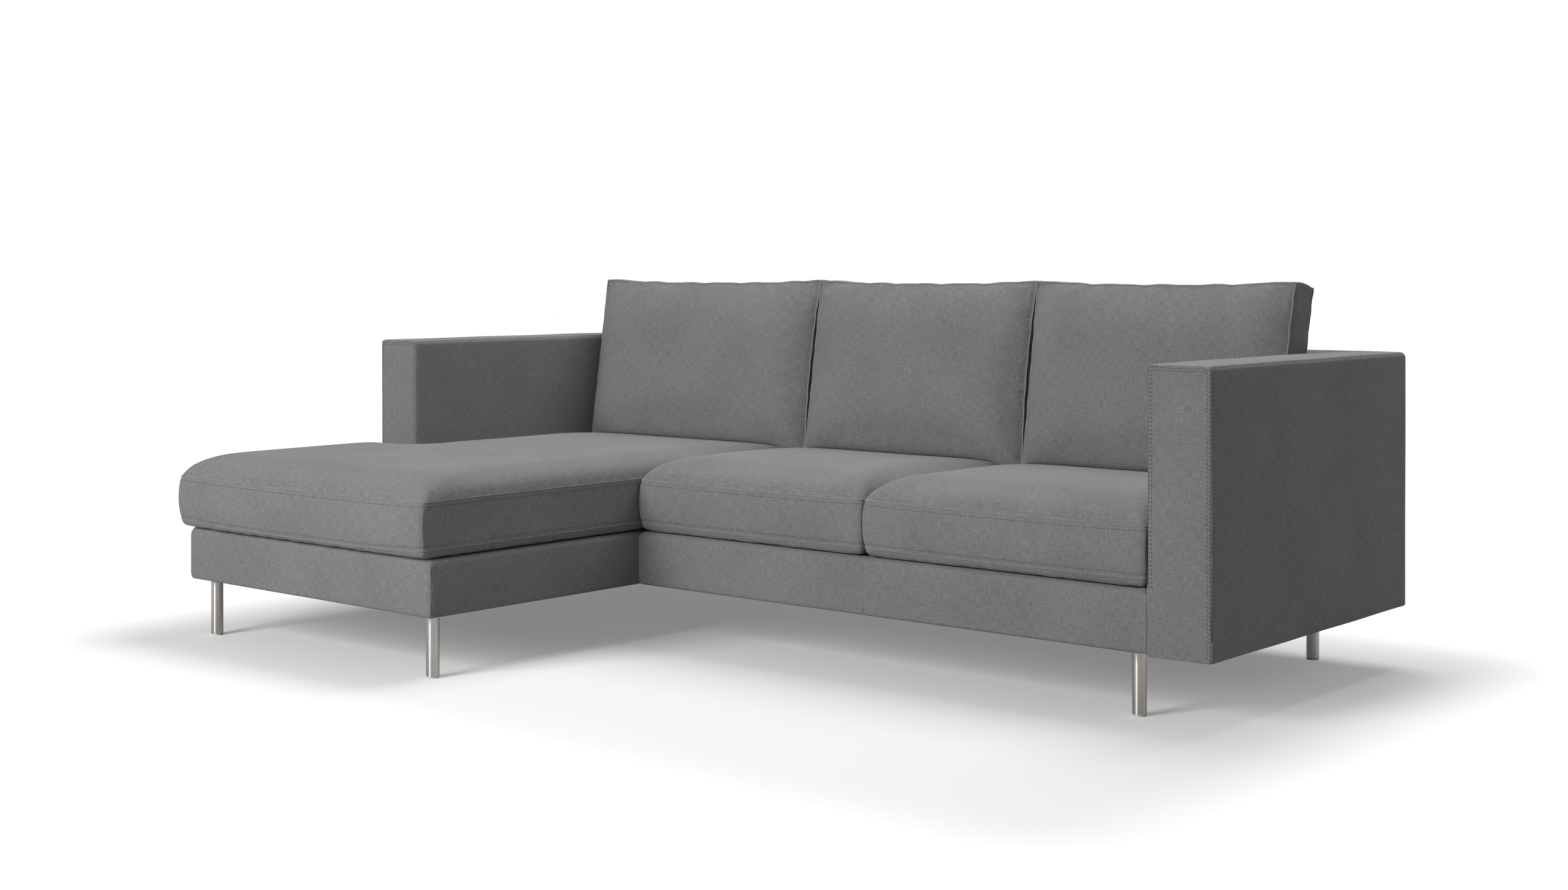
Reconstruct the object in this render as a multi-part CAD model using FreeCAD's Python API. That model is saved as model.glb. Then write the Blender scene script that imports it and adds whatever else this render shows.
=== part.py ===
# Sectional sofa with a chaise on its left, upholstered in plain woven fabric.
# Two timber-framed modules, the chaise and the two-seater, are bolted side by side
# and stand on round steel legs. Six loose cushions lie on them.
# Millimetres. +X runs to the sitter's left hand, +Z is up and the front faces -Y.
# The origin is on the floor under the middle of the whole sofa.

import FreeCAD, Part
import os
from math import cos, radians, sin, sqrt, tan

V = FreeCAD.Vector
os.makedirs("parts", exist_ok=True)

# Whole sofa
overall_width = 2500.0       # outer face of one arm to outer face of the other
main_width = 1572.0          # two-seat module with its arm
main_depth = 932.0           # rail front to back, without the chaise
chaise_reach = 660.0         # how far the chaise base stands in front of the rail
leg_height = 142.0           # floor to the underside of the base
base_height = 130.0          # upholstered base under the cushions
arm_height = 727.0           # floor to the top of the arms
arm_width = 148.0
left_arm_lead = 59.0         # left arm's front ahead of the rail
right_arm_drop = 3.0         # right arm's bottom edge below the base
back_height = 727.0          # floor to the top of the fixed back
back_top_thickness = 182.0
back_lean = 8.8              # degrees that the fixed back's front and its cushions lean

# Upholstery layers
cover_thickness = 2.0        # fabric and its lining
pad_thickness = 16.0         # foam glued on the arm and back frames
base_cover_thickness = 6.0   # fabric with bonded wadding round the base
base_corner_radius = 8.0
base_cover_lip = 22.0        # width that the base cover turns in over and under
dust_cover_thickness = 1.5
webbing_thickness = 2.0
webbing_width = 60.0
webbing_pitch = 92.0
webbing_tail = 12.0          # what a strap has on its rail, short of the cover
webbing_margin = 18.0        # clear space beside the first and last strap of a bay

# Timber
rail_thickness = 24.0
cross_rail_width = 60.0
cross_rail_height = 30.0
post_width = 45.0
board_thickness = 20.0
panel_thickness = 6.0
leg_block_size = 75.0
leg_block_height = 45.0
back_post_inset = 120.0      # end of a back to its first post

# Legs
leg_radius = 15.0
leg_wall = 1.5
leg_cap_thickness = 4.0
leg_inset = 47.0             # chaise legs, from the faces of the base
main_leg_inset_side = 58.0
main_leg_inset_front = 72.0
back_leg_inset = 62.0
stud_radius = 4.0
stud_length = 22.0
stud_room = 2.0              # clear space round and over a stud in its block
leg_plate_size = 44.0
leg_plate_thickness = 3.0
plate_screw_spacing = 28.0
plate_screw_radius = 2.0
plate_screw_length = 18.0
plate_screw_head_radius = 3.8
plate_screw_head_height = 1.4
glide_radius = 14.6
glide_thickness = 4.0
glide_shank_length = 12.0

# Bolts and coach screws
bolt_radius = 4.0
bolt_head_width = 13.0       # across flats, for the nuts too
bolt_head_height = 5.5
nut_height = 6.5
bolt_end = 2.0               # thread that stands out of a nut
arm_bolt_level = 93.0        # above the underside of the base
left_arm_front_bolt_inset = 150.0
left_arm_back_bolt_inset = 250.0
module_bolt_inset = 90.0
coach_screw_radius = 3.0
coach_screw_length = 62.0
coach_screw_head_radius = 6.0
coach_screw_head_height = 4.0
coach_screw_level = 33.0     # lower screws, above the underside of the base
coach_screw_spacing = 60.0   # between the lower and the upper screws
hole_clearance = 0.3         # round every bolt, screw, stud and shank

# Cushions
cushion_overhang = 20.0      # chaise cushion past its base, front and left
cushion_gap = 1.5            # between a cushion and what stands beside it
rest_gap = 0.5               # between a cushion and what it lies on
core_gap = 0.5               # between a core and its cover
seat_cushion_height = 182.0  # at the crest
middle_seat_width = 698.0    # the right seat takes the rest
seat_crown = 22.0            # rise of the top, front to back
seat_cross_crown = 27.0      # the same, side to side, if it weren't held down
seat_top_radius = 30.0
seat_bottom_radius = 12.0
seat_corner_radius = 22.0
left_back_cushion_reach = 37.0  # past the joint between the modules
back_cushion_height = 456.0
back_cushion_gusset = 90.0   # thickness at the seams
back_cushion_front_bulge = 38.0
back_cushion_back_bulge = 14.0
back_cushion_side_fullness = 1.25   # how much fuller the bulge is side to side
prism_margin = 60.0          # how far a shaping prism runs past what it shapes
back_cushion_back_room = 4.0 # between the bulge and the fixed back

# Places that follow from the sizes
x_left = (cushion_overhang - overall_width) / 2
x_right = x_left + overall_width
x_module = x_right - main_width
x_left_in = x_left + arm_width
x_right_in = x_right - arm_width
y_back = (main_depth + chaise_reach + cushion_overhang) / 2
y_front = y_back - main_depth
y_chaise = y_front - chaise_reach
y_left_arm = y_front - left_arm_lead
z_base = leg_height
z_seat = leg_height + base_height
z_rail_bottom = z_base + base_cover_thickness
z_rail_top = z_seat - base_cover_thickness - webbing_thickness
z_plate_top = z_rail_bottom - dust_cover_thickness
z_leg_top = z_plate_top - leg_plate_thickness
z_arm_bolt = z_base + arm_bolt_level
z_module_bolt = (z_rail_bottom + leg_block_height + z_rail_top - cross_rail_height) / 2
lean = radians(back_lean)
rail_inset = base_cover_thickness + rail_thickness
skin = cover_thickness + pad_thickness
shell_radius = skin


def box(x0, x1, y0, y1, z0, z1):
    """Box between two corners."""
    return Part.makeBox(x1 - x0, y1 - y0, z1 - z0, V(x0, y0, z0))


def rounded_box(x0, x1, y0, y1, z0, z1, radius):
    """Box with every edge rounded."""
    solid = box(x0, x1, y0, y1, z0, z1)
    return solid.makeFillet(radius, solid.Edges)


def rod(start, end, radius):
    """Cylinder from one point to another."""
    run = end - start
    return Part.makeCylinder(radius, run.Length, start, run)


def hexagon(start, end, width_across_flats):
    """Hexagonal prism from one point to another."""
    run = end - start
    corner_radius = width_across_flats / sqrt(3)
    side = V(0, 0, 1) if abs(run.z) < run.Length / 2 else V(1, 0, 0)
    turn = FreeCAD.Rotation(run, 60)
    arm = side * corner_radius
    points = []
    for _ in range(6):
        points.append(start + arm)
        arm = turn.multVec(arm)
    return Part.Face(Part.makePolygon(points + [points[0]])).extrude(run)


def save(name, solids):
    """Write one piece, or a group of like pieces, as a node of its own."""
    shape = solids[0] if len(solids) == 1 else Part.makeCompound(solids)
    shape.exportStep("parts/" + name + ".step")


def cut_all(solid, tools):
    """Cut every tool out of a solid and return the one solid that is left."""
    for tool in tools:
        solid = solid.cut(tool)
    return solid.Solids[0]


# Fasteners, each with the clear hole that it needs in what it passes through

def bolt(start, direction, grip):
    """Hexagon bolt, its nut and its hole: the head lies before start, the nut after grip."""
    head = hexagon(start - direction * bolt_head_height, start, bolt_head_width)
    shank = rod(start, start + direction * (grip + nut_height + bolt_end), bolt_radius)
    nut_start = start + direction * grip
    nut = hexagon(nut_start, nut_start + direction * nut_height, bolt_head_width)
    hole = rod(start, start + direction * grip, bolt_radius + hole_clearance)
    bore = rod(nut_start, nut_start + direction * nut_height, bolt_radius + hole_clearance)
    return head.fuse(shank).removeSplitter().Solids[0], nut.cut(bore).Solids[0], hole


left_arm_bolt_places = [y_front + left_arm_front_bolt_inset, y_back - left_arm_back_bolt_inset]
left_arm_bolts = []
right_arm_bolts = []
module_bolts = []
frame_nuts = []

left_arm_grip = cross_rail_height + z_seat - z_rail_top + cover_thickness + board_thickness
left_arm_holes = []
for y in left_arm_bolt_places:
    start = V(x_left + arm_width / 2, y, z_rail_top - cross_rail_height)
    screw, nut, hole = bolt(start, V(0, 0, 1), left_arm_grip)
    left_arm_bolts.append(screw)
    frame_nuts.append(nut)
    left_arm_holes.append(hole)

right_arm_grip = rail_inset + skin + panel_thickness + post_width
right_arm_holes = []
for y in (y_front + skin + post_width / 2, y_back - skin - post_width / 2):
    start = V(x_right_in - rail_inset, y, z_arm_bolt)
    screw, nut, hole = bolt(start, V(1, 0, 0), right_arm_grip)
    right_arm_bolts.append(screw)
    frame_nuts.append(nut)
    right_arm_holes.append(hole)

module_holes = []
for y in (y_front + module_bolt_inset, y_back - module_bolt_inset):
    start = V(x_module - rail_inset, y, z_module_bolt)
    screw, nut, hole = bolt(start, V(1, 0, 0), 2 * rail_inset)
    module_bolts.append(screw)
    frame_nuts.append(nut)
    module_holes.append(hole)

save("left_arm_bolts", left_arm_bolts)
save("right_arm_bolts", right_arm_bolts)
save("module_bolts", module_bolts)
save("frame_nuts", frame_nuts)


# Legs: each has a timber block glued in the frame, a screwed steel plate, a tube and a glide

leg_places = {
    "chaise_front_left": (x_left + leg_inset, y_chaise + leg_inset),
    "chaise_front_right": (x_module - leg_inset, y_chaise + leg_inset),
    "chaise_back_left": (x_left + leg_inset, y_back - back_leg_inset),
    "chaise_back_right": (x_module - leg_inset, y_back - back_leg_inset),
    "main_front_right": (x_right_in - main_leg_inset_side, y_front + main_leg_inset_front),
    "main_back_right": (x_right_in - main_leg_inset_side, y_back - back_leg_inset),
}


def leg(x, y):
    """Steel tube with a welded cap and a stud that screws through the plate."""
    foot = V(x, y, glide_thickness)
    top = V(x, y, z_leg_top)
    tube = rod(foot, top, leg_radius).cut(
        rod(foot, V(x, y, z_leg_top - leg_cap_thickness), leg_radius - leg_wall))
    stud = rod(top, V(x, y, z_leg_top + stud_length), stud_radius)
    return tube.fuse(stud).removeSplitter().Solids[0]


def glide(x, y):
    """Plastic foot: a disc on the floor and a shank inside the tube."""
    disc = rod(V(x, y, 0), V(x, y, glide_thickness), glide_radius)
    shank = rod(V(x, y, glide_thickness), V(x, y, glide_thickness + glide_shank_length),
                leg_radius - leg_wall - hole_clearance)
    return disc.fuse(shank).removeSplitter().Solids[0]


def plate_screws(x, y):
    """Four wood screws of one leg plate, and the clear holes round their shanks."""
    screws, holes = [], []
    reach = plate_screw_spacing / 2
    for dx in (-reach, reach):
        for dy in (-reach, reach):
            under = V(x + dx, y + dy, z_leg_top)
            tip = under + V(0, 0, plate_screw_length)
            head = rod(under - V(0, 0, plate_screw_head_height), under, plate_screw_head_radius)
            screws.append(head.fuse(rod(under, tip, plate_screw_radius)).removeSplitter().Solids[0])
            holes.append(rod(under, tip + V(0, 0, hole_clearance),
                             plate_screw_radius + hole_clearance))
    return screws, holes


def corner_block(x, y, x0, x1, y0, y1):
    """Timber block in the frame corner nearest the leg, x0 to x1 and y0 to y1 being the frame."""
    left = x0 + rail_inset if x - x0 < x1 - x else x1 - rail_inset - leg_block_size
    near = y0 + rail_inset if y - y0 < y1 - y else y1 - rail_inset - leg_block_size
    return box(left, left + leg_block_size, near, near + leg_block_size,
               z_rail_bottom, z_rail_bottom + leg_block_height)


leg_blocks, leg_plates, leg_glides, all_plate_screws = [], [], [], []
dust_cover_holes = {"chaise": [], "main": []}
for name, (x, y) in leg_places.items():
    module = name.split("_")[0]
    frame = (x_left, x_module, y_chaise, y_back)
    if module == "main":
        frame = (x_module, x_right_in, y_front, y_back)
    screws, holes = plate_screws(x, y)
    top = V(x, y, z_leg_top)
    stud_hole = rod(top, top + V(0, 0, leg_plate_thickness), stud_radius + hole_clearance)
    stud_pocket = rod(top, top + V(0, 0, stud_length + stud_room), stud_radius + stud_room)
    half = leg_plate_size / 2
    plate = box(x - half, x + half, y - half, y + half, z_leg_top, z_plate_top)
    save("leg_" + name, [leg(x, y)])
    leg_plates.append(cut_all(plate, [stud_hole] + holes))
    leg_blocks.append(cut_all(corner_block(x, y, *frame), [stud_pocket] + holes))
    leg_glides.append(glide(x, y))
    all_plate_screws += screws
    dust_cover_holes[module] += [stud_pocket] + holes

save("leg_blocks", leg_blocks)
save("leg_plates", leg_plates)
save("leg_plate_screws", all_plate_screws)
save("leg_glides", leg_glides)


# Back posts run down inside the base and are screwed to the back rail

back_posts = {"chaise": [], "main": []}
back_post_starts = {
    "chaise": [x_left_in + back_post_inset, x_module - back_post_inset - post_width],
    "main": [x_module + back_post_inset,
             (x_module + x_right_in - post_width) / 2,
             x_right_in - back_post_inset - post_width],
}
back_top_board = back_height - skin
back_screws = []
back_screw_holes = []
for module, starts in back_post_starts.items():
    for x in starts:
        y_post = y_back - rail_inset - post_width
        post = box(x, x + post_width, y_post, y_post + post_width,
                   z_rail_bottom, back_top_board - board_thickness)
        for level in (coach_screw_level, coach_screw_level + coach_screw_spacing):
            under = V(x + post_width / 2, y_post, z_base + level)
            tip = under + V(0, coach_screw_length, 0)
            head = rod(under - V(0, coach_screw_head_height, 0), under, coach_screw_head_radius)
            shank = rod(under, tip, coach_screw_radius)
            back_screws.append(head.fuse(shank).removeSplitter().Solids[0])
            hole = rod(under, tip + V(0, hole_clearance, 0), coach_screw_radius + hole_clearance)
            back_screw_holes.append(hole)
            post = post.cut(hole)
        back_posts[module].append(post.Solids[0])
save("back_post_screws", back_screws)


# Bases: a ring of rails with webbing and a felt pad on top, in a wadded cover

def rails(x0, x1, y0, y1, run_along_y):
    """Two full-length rails and the two rails between them."""
    t = rail_thickness
    z0, z1 = z_rail_bottom, z_rail_top
    if run_along_y:
        full = [box(x0, x0 + t, y0, y1, z0, z1), box(x1 - t, x1, y0, y1, z0, z1)]
        between = [box(x0 + t, x1 - t, y0, y0 + t, z0, z1), box(x0 + t, x1 - t, y1 - t, y1, z0, z1)]
    else:
        full = [box(x0, x1, y0, y0 + t, z0, z1), box(x0, x1, y1 - t, y1, z0, z1)]
        between = [box(x0, x0 + t, y0 + t, y1 - t, z0, z1), box(x1 - t, x1, y0 + t, y1 - t, z0, z1)]
    return full, between


def base_cover(x0, x1, y0, y1):
    """Wadded fabric round the base, turned in a lip's width over and under it."""
    t, lip = base_cover_thickness, base_cover_lip
    outer = rounded_box(x0, x1, y0, y1, z_base, z_seat, base_corner_radius)
    hollow = box(x0 + t, x1 - t, y0 + t, y1 - t, z_base + t, z_seat - t)
    way_through = box(x0 + lip, x1 - lip, y0 + lip, y1 - lip, z_base - t, z_seat + t)
    return outer.cut(hollow).cut(way_through)


def deck_pad(x0, x1, y0, y1):
    """Felt pad over the webbing, flush with the cover's lip."""
    lip = base_cover_lip
    return box(x0 + lip, x1 - lip, y0 + lip, y1 - lip, z_seat - base_cover_thickness, z_seat)


def dust_cover(x0, x1, y0, y1):
    """Thin cloth stapled under the rails, inside the cover's lip."""
    lip = base_cover_lip
    return box(x0 + lip, x1 - lip, y0 + lip, y1 - lip, z_plate_top, z_rail_bottom)


def strap_starts(start, end):
    """Evenly spaced straps that fit between start and end."""
    room = end - start - 2 * webbing_margin - webbing_width
    count = max(1, int(room // webbing_pitch) + 1)
    step = room / (count - 1) if count > 1 else 0.0
    return [start + webbing_margin + i * step for i in range(count)]


def straps_across(x0, x1, y_bays):
    """Webbing straps that run side to side over the rails."""
    z0 = z_rail_top
    return [box(x0 + webbing_tail, x1 - webbing_tail, y, y + webbing_width,
                z0, z0 + webbing_thickness)
            for y_start, y_end in y_bays for y in strap_starts(y_start, y_end)]


def straps_lengthwise(y0, y1, x_bays):
    """Webbing straps that run front to back over the rails."""
    z0 = z_rail_top
    return [box(x, x + webbing_width, y0 + webbing_tail, y1 - webbing_tail,
                z0, z0 + webbing_thickness)
            for x_start, x_end in x_bays for x in strap_starts(x_start, x_end)]


post_front = y_back - rail_inset - post_width
chaise_rails, chaise_end_rails = rails(x_left + base_cover_thickness, x_module - base_cover_thickness,
                                       y_chaise + base_cover_thickness,
                                       y_back - base_cover_thickness, True)
main_rails, main_end_rails = rails(x_module + base_cover_thickness, x_right_in - base_cover_thickness,
                                   y_front + base_cover_thickness,
                                   y_back - base_cover_thickness, False)

chaise_cross_places = [y_chaise + chaise_reach / 2] + left_arm_bolt_places
chaise_cross_rails = [
    cut_all(box(x_left + rail_inset, x_module - rail_inset,
                y - cross_rail_width / 2, y + cross_rail_width / 2,
                z_rail_top - cross_rail_height, z_rail_top), left_arm_holes)
    for y in chaise_cross_places]
main_cross_x = (x_module + x_right_in) / 2
main_cross_rail = box(main_cross_x - cross_rail_width / 2, main_cross_x + cross_rail_width / 2,
                      y_front + rail_inset, post_front - coach_screw_head_height - hole_clearance,
                      z_rail_top - cross_rail_height, z_rail_top)

cross_edges = sorted(y + side * cross_rail_width / 2 for y in chaise_cross_places for side in (-1, 1))
chaise_bay_edges = [y_chaise + rail_inset] + cross_edges + [post_front]
chaise_bays = list(zip(chaise_bay_edges[0::2], chaise_bay_edges[1::2]))
main_bays = []
bay_start = x_module + rail_inset
for x in back_post_starts["main"] + [x_right_in - rail_inset]:
    main_bays.append((bay_start, x))
    bay_start = x + post_width

side_holes = module_holes + right_arm_holes
save("chaise_side_rails", [cut_all(r, module_holes) for r in chaise_rails])
save("chaise_end_rails", [cut_all(r, back_screw_holes) for r in chaise_end_rails])
save("chaise_cross_rails", chaise_cross_rails)
save("chaise_webbing", straps_across(x_left + base_cover_thickness, x_module - base_cover_thickness,
                                     chaise_bays))
save("chaise_deck_pad", [cut_all(deck_pad(x_left, x_module, y_chaise, y_back),
                                 left_arm_holes + back_posts["chaise"])])
save("chaise_base_cover", [cut_all(base_cover(x_left, x_module, y_chaise, y_back), module_holes)])
save("chaise_dust_cover", [cut_all(dust_cover(x_left, x_module, y_chaise, y_back),
                                   dust_cover_holes["chaise"])])
save("main_long_rails", [cut_all(r, back_screw_holes) for r in main_rails])
save("main_end_rails", [cut_all(r, side_holes) for r in main_end_rails])
save("main_cross_rail", [main_cross_rail])
save("main_webbing", straps_lengthwise(y_front + base_cover_thickness, y_back - base_cover_thickness,
                                       main_bays))
save("main_deck_pad", [cut_all(deck_pad(x_module, x_right_in, y_front, y_back), back_posts["main"])])
save("main_base_cover", [cut_all(base_cover(x_module, x_right_in, y_front, y_back), side_holes)])
save("main_dust_cover", [cut_all(dust_cover(x_module, x_right_in, y_front, y_back),
                                 dust_cover_holes["main"])])


# Arms: four posts, two boards and two panels, padded on five faces and covered

def arm(name, x0, x1, y0, y1, z0, z1, holes):
    """Make the five nodes of one arm in its outer box."""
    c, s, p = cover_thickness, skin, panel_thickness
    inner = (x0 + s, x1 - s, y0 + s, y1 - s, z0 + c, z1 - s)
    fx0, fx1, fy0, fy1, fz0, fz1 = inner
    outer = rounded_box(x0, x1, y0, y1, z0, z1, shell_radius)
    padded = rounded_box(x0 + c, x1 - c, y0 + c, y1 - c, z0 + c, z1 - c, pad_thickness)
    cover = outer.cut(padded)
    slabs = [
        box(x0, fx0, y0, y1, z0, z1),
        box(fx1, x1, y0, y1, z0, z1),
        box(fx0, fx1, y0, fy0, z0, z1),
        box(fx0, fx1, fy1, y1, z0, z1),
        box(fx0, fx1, fy0, fy1, fz1, z1),
    ]
    panels = [box(fx0, fx0 + p, fy0, fy1, fz0, fz1), box(fx1 - p, fx1, fy0, fy1, fz0, fz1)]
    boards = [box(fx0 + p, fx1 - p, fy0, fy1, fz0, fz0 + board_thickness),
              box(fx0 + p, fx1 - p, fy0, fy1, fz1 - board_thickness, fz1)]
    posts = [box(x, x + post_width, y, y + post_width,
                 fz0 + board_thickness, fz1 - board_thickness)
             for x in (fx0 + p, fx1 - p - post_width) for y in (fy0, fy1 - post_width)]
    save(name + "_posts", [cut_all(part, holes) for part in posts])
    save(name + "_boards", [cut_all(part, holes) for part in boards])
    save(name + "_panels", [cut_all(part, holes) for part in panels])
    save(name + "_padding", [cut_all(padded.common(slab), holes) for slab in slabs])
    save(name + "_cover", [cut_all(cover, holes)])


arm("left_arm", x_left, x_left_in, y_left_arm, y_back, z_seat, arm_height, left_arm_holes)
arm("right_arm", x_right_in, x_right, y_front, y_back, z_base - right_arm_drop, arm_height,
    right_arm_holes)


# Fixed backs: posts and boards between two panels, padded and covered

def back_face(z):
    """Front of the fixed back at a height: it leans back from seat to top."""
    return y_back - back_top_thickness - (back_height - z) * tan(lean)


def back_block(x0, x1, inset_front, inset_rear, inset_top, inset_bottom, radius):
    """Raked block of the back with its faces moved in, its two top edges rounded."""
    z0, z1 = z_seat + inset_bottom, back_height - inset_top
    rear = y_back - inset_rear
    points = [V(x0, back_face(z0) + inset_front, z0), V(x0, rear, z0), V(x0, rear, z1),
              V(x0, back_face(z1) + inset_front, z1)]
    solid = Part.Face(Part.makePolygon(points + [points[0]])).extrude(V(x1 - x0, 0, 0))
    if radius > 0:
        top_edges = [e for e in solid.Edges
                     if abs(e.CenterOfMass.x - (x0 + x1) / 2) < 1 and e.CenterOfMass.z > z1 - 1]
        solid = solid.makeFillet(radius, top_edges)
    return solid


def back(name, x0, x1, posts):
    """Make the four nodes of one fixed back between its two ends."""
    c, s, p = cover_thickness, skin, panel_thickness
    outer = back_block(x0, x1, 0, 0, 0, 0, shell_radius)
    padded = back_block(x0 + c, x1 - c, c, c, c, c, pad_thickness)
    core = back_block(x0 + c, x1 - c, s, s, s, c, 0)
    between_panels = back_block(x0 + c, x1 - c, s + p, s + p, s, c, 0)
    foam = padded.cut(core)
    top_slab = box(x0, x1, y_back - main_depth, y_back, back_top_board, back_height)
    front_slab = box(x0, x1, y_back - main_depth, post_front, z_seat, back_top_board)
    rear_slab = box(x0, x1, post_front, y_back, z_seat, back_top_board)
    foam_slabs = [foam.common(slab).Solids[0] for slab in (top_slab, front_slab, rear_slab)]
    panels = [solid for solid in core.cut(between_panels).Solids]
    low_board = box(x0, x1, y_back - main_depth, y_back, z_seat, z_seat + c + board_thickness)
    top_board = box(x0, x1, y_back - main_depth, y_back, back_top_board - board_thickness,
                    back_top_board)
    boards = [cut_all(between_panels.common(low_board), posts), between_panels.common(top_board)]
    save(name + "_frame", posts + [board.Solids[0] for board in boards])
    save(name + "_panels", panels)
    save(name + "_padding", foam_slabs)
    save(name + "_cover", [cut_all(outer.cut(padded), posts)])


back("chaise_back", x_left_in, x_module, back_posts["chaise"])
back("main_back", x_module, x_right_in, back_posts["main"])


# Seat cushions: a crowned core in a loose cover. Each is what three prisms have in common

def crowned_profile(a0, a1, z0, z_edge, crown, at):
    """Side view of a seat cushion from a0 to a1, as a face whose points are made by at."""
    top, low, mid = seat_top_radius, seat_bottom_radius, (a0 + a1) / 2
    k = 1 - sqrt(0.5)
    edges = [
        Part.makeLine(at(a0 + low, z0), at(a1 - low, z0)),
        Part.Arc(at(a1 - low, z0), at(a1 - low * k, z0 + low * k), at(a1, z0 + low)).toShape(),
        Part.makeLine(at(a1, z0 + low), at(a1, z_edge - top)),
        Part.Arc(at(a1, z_edge - top), at(a1 - top * k, z_edge - top * k),
                 at(a1 - top, z_edge)).toShape(),
        Part.Arc(at(a1 - top, z_edge), at(mid, z_edge + crown), at(a0 + top, z_edge)).toShape(),
        Part.Arc(at(a0 + top, z_edge), at(a0 + top * k, z_edge - top * k),
                 at(a0, z_edge - top)).toShape(),
        Part.makeLine(at(a0, z_edge - top), at(a0, z0 + low)),
        Part.Arc(at(a0, z0 + low), at(a0 + low * k, z0 + low * k), at(a0 + low, z0)).toShape(),
    ]
    return Part.Face(Part.Wire(edges))


def crown_height(a, a0, a1, z1):
    """Height of a seat cushion's crown at a, from front to back."""
    half = (a1 - a0) / 2 - seat_top_radius
    arc_radius = (half ** 2 + seat_crown ** 2) / (2 * seat_crown)
    return z1 - arc_radius + sqrt(arc_radius ** 2 - (a - (a0 + a1) / 2) ** 2)


def plan_prism(corners, z0, z1):
    """Upright prism over a plan, with its vertical edges rounded."""
    points = [V(x, y, z0) for x, y in corners]
    solid = Part.Face(Part.makePolygon(points + [points[0]])).extrude(V(0, 0, z1 - z0))
    uprights = [e for e in solid.Edges if abs(e.tangentAt(e.FirstParameter).z) > 0.9]
    return solid.makeFillet(seat_corner_radius, uprights)


def seat_shape(corners, z0, z1):
    """Seat cushion over a plan, crowned both ways."""
    xs = [x for x, y in corners]
    ys = [y for x, y in corners]
    x0, x1, y0, y1 = min(xs), max(xs), min(ys), max(ys)
    plan = plan_prism(corners, z0, z1 + seat_cross_crown)
    z_edge = z1 - seat_crown
    across = crowned_profile(x0, x1, z0, z_edge, seat_cross_crown, lambda a, z: V(a, y0, z))
    along = crowned_profile(y0, y1, z0, z_edge, seat_crown, lambda a, z: V(x0, a, z))
    across = across.extrude(V(0, y1 - y0, 0))
    along = along.extrude(V(x1 - x0, 0, 0))
    return plan.common(across).common(along).Solids[0]


def seat_cushion(name, plan):
    """Core and cover of a seat cushion, plan giving its corners moved in by an inset."""
    z0 = z_seat + rest_gap
    z1 = z0 + seat_cushion_height
    c = cover_thickness
    g = cover_thickness + core_gap
    save(name + "_cover", [seat_shape(plan(0), z0, z1).cut(seat_shape(plan(c), z0 + c, z1 - c))])
    save(name + "_core", [seat_shape(plan(g), z0 + g, z1 - g)])


y_seat_back = back_face(z_seat) - cushion_gap
x_split = x_module + middle_seat_width
chaise_cushion_front = y_chaise - cushion_overhang
chaise_cushion_right = x_module - cushion_gap / 2


def chaise_plan(i):
    """Corners of the chaise cushion: it passes in front of the left arm."""
    x0, x1 = x_left - cushion_overhang + i, chaise_cushion_right - i
    y0, y1 = chaise_cushion_front + i, y_seat_back - i
    notch_x, notch_y = x_left_in + cushion_gap + i, y_left_arm - cushion_gap - i
    return [(x0, y0), (x1, y0), (x1, y1), (notch_x, y1), (notch_x, notch_y), (x0, notch_y)]


def box_plan(x0, x1, y0, y1):
    """Corners of a plain cushion, as a function of the inset."""
    return lambda i: [(x0 + i, y0 + i), (x1 - i, y0 + i), (x1 - i, y1 - i), (x0 + i, y1 - i)]


seat_cushion("chaise_seat_cushion", chaise_plan)
seat_cushion("middle_seat_cushion", box_plan(x_module + cushion_gap / 2, x_split - cushion_gap / 2,
                                             y_front, y_seat_back))
seat_cushion("right_seat_cushion", box_plan(x_split + cushion_gap / 2, x_right_in - cushion_gap,
                                            y_front, y_seat_back))


# Back cushions: boxed pillows that stand on the seat cushions and lean on the fixed back

z_seat_crest = z_seat + rest_gap + seat_cushion_height
gusset_across = back_cushion_gusset / cos(lean)
y_contact = back_face(z_seat_crest) - back_cushion_back_room - back_cushion_back_bulge - gusset_across


def bulged_line(start, end, bulge):
    """Arc from start to end whose middle is moved by bulge."""
    return Part.Arc(start, (start + end) * 0.5 + bulge, end).toShape()


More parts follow.
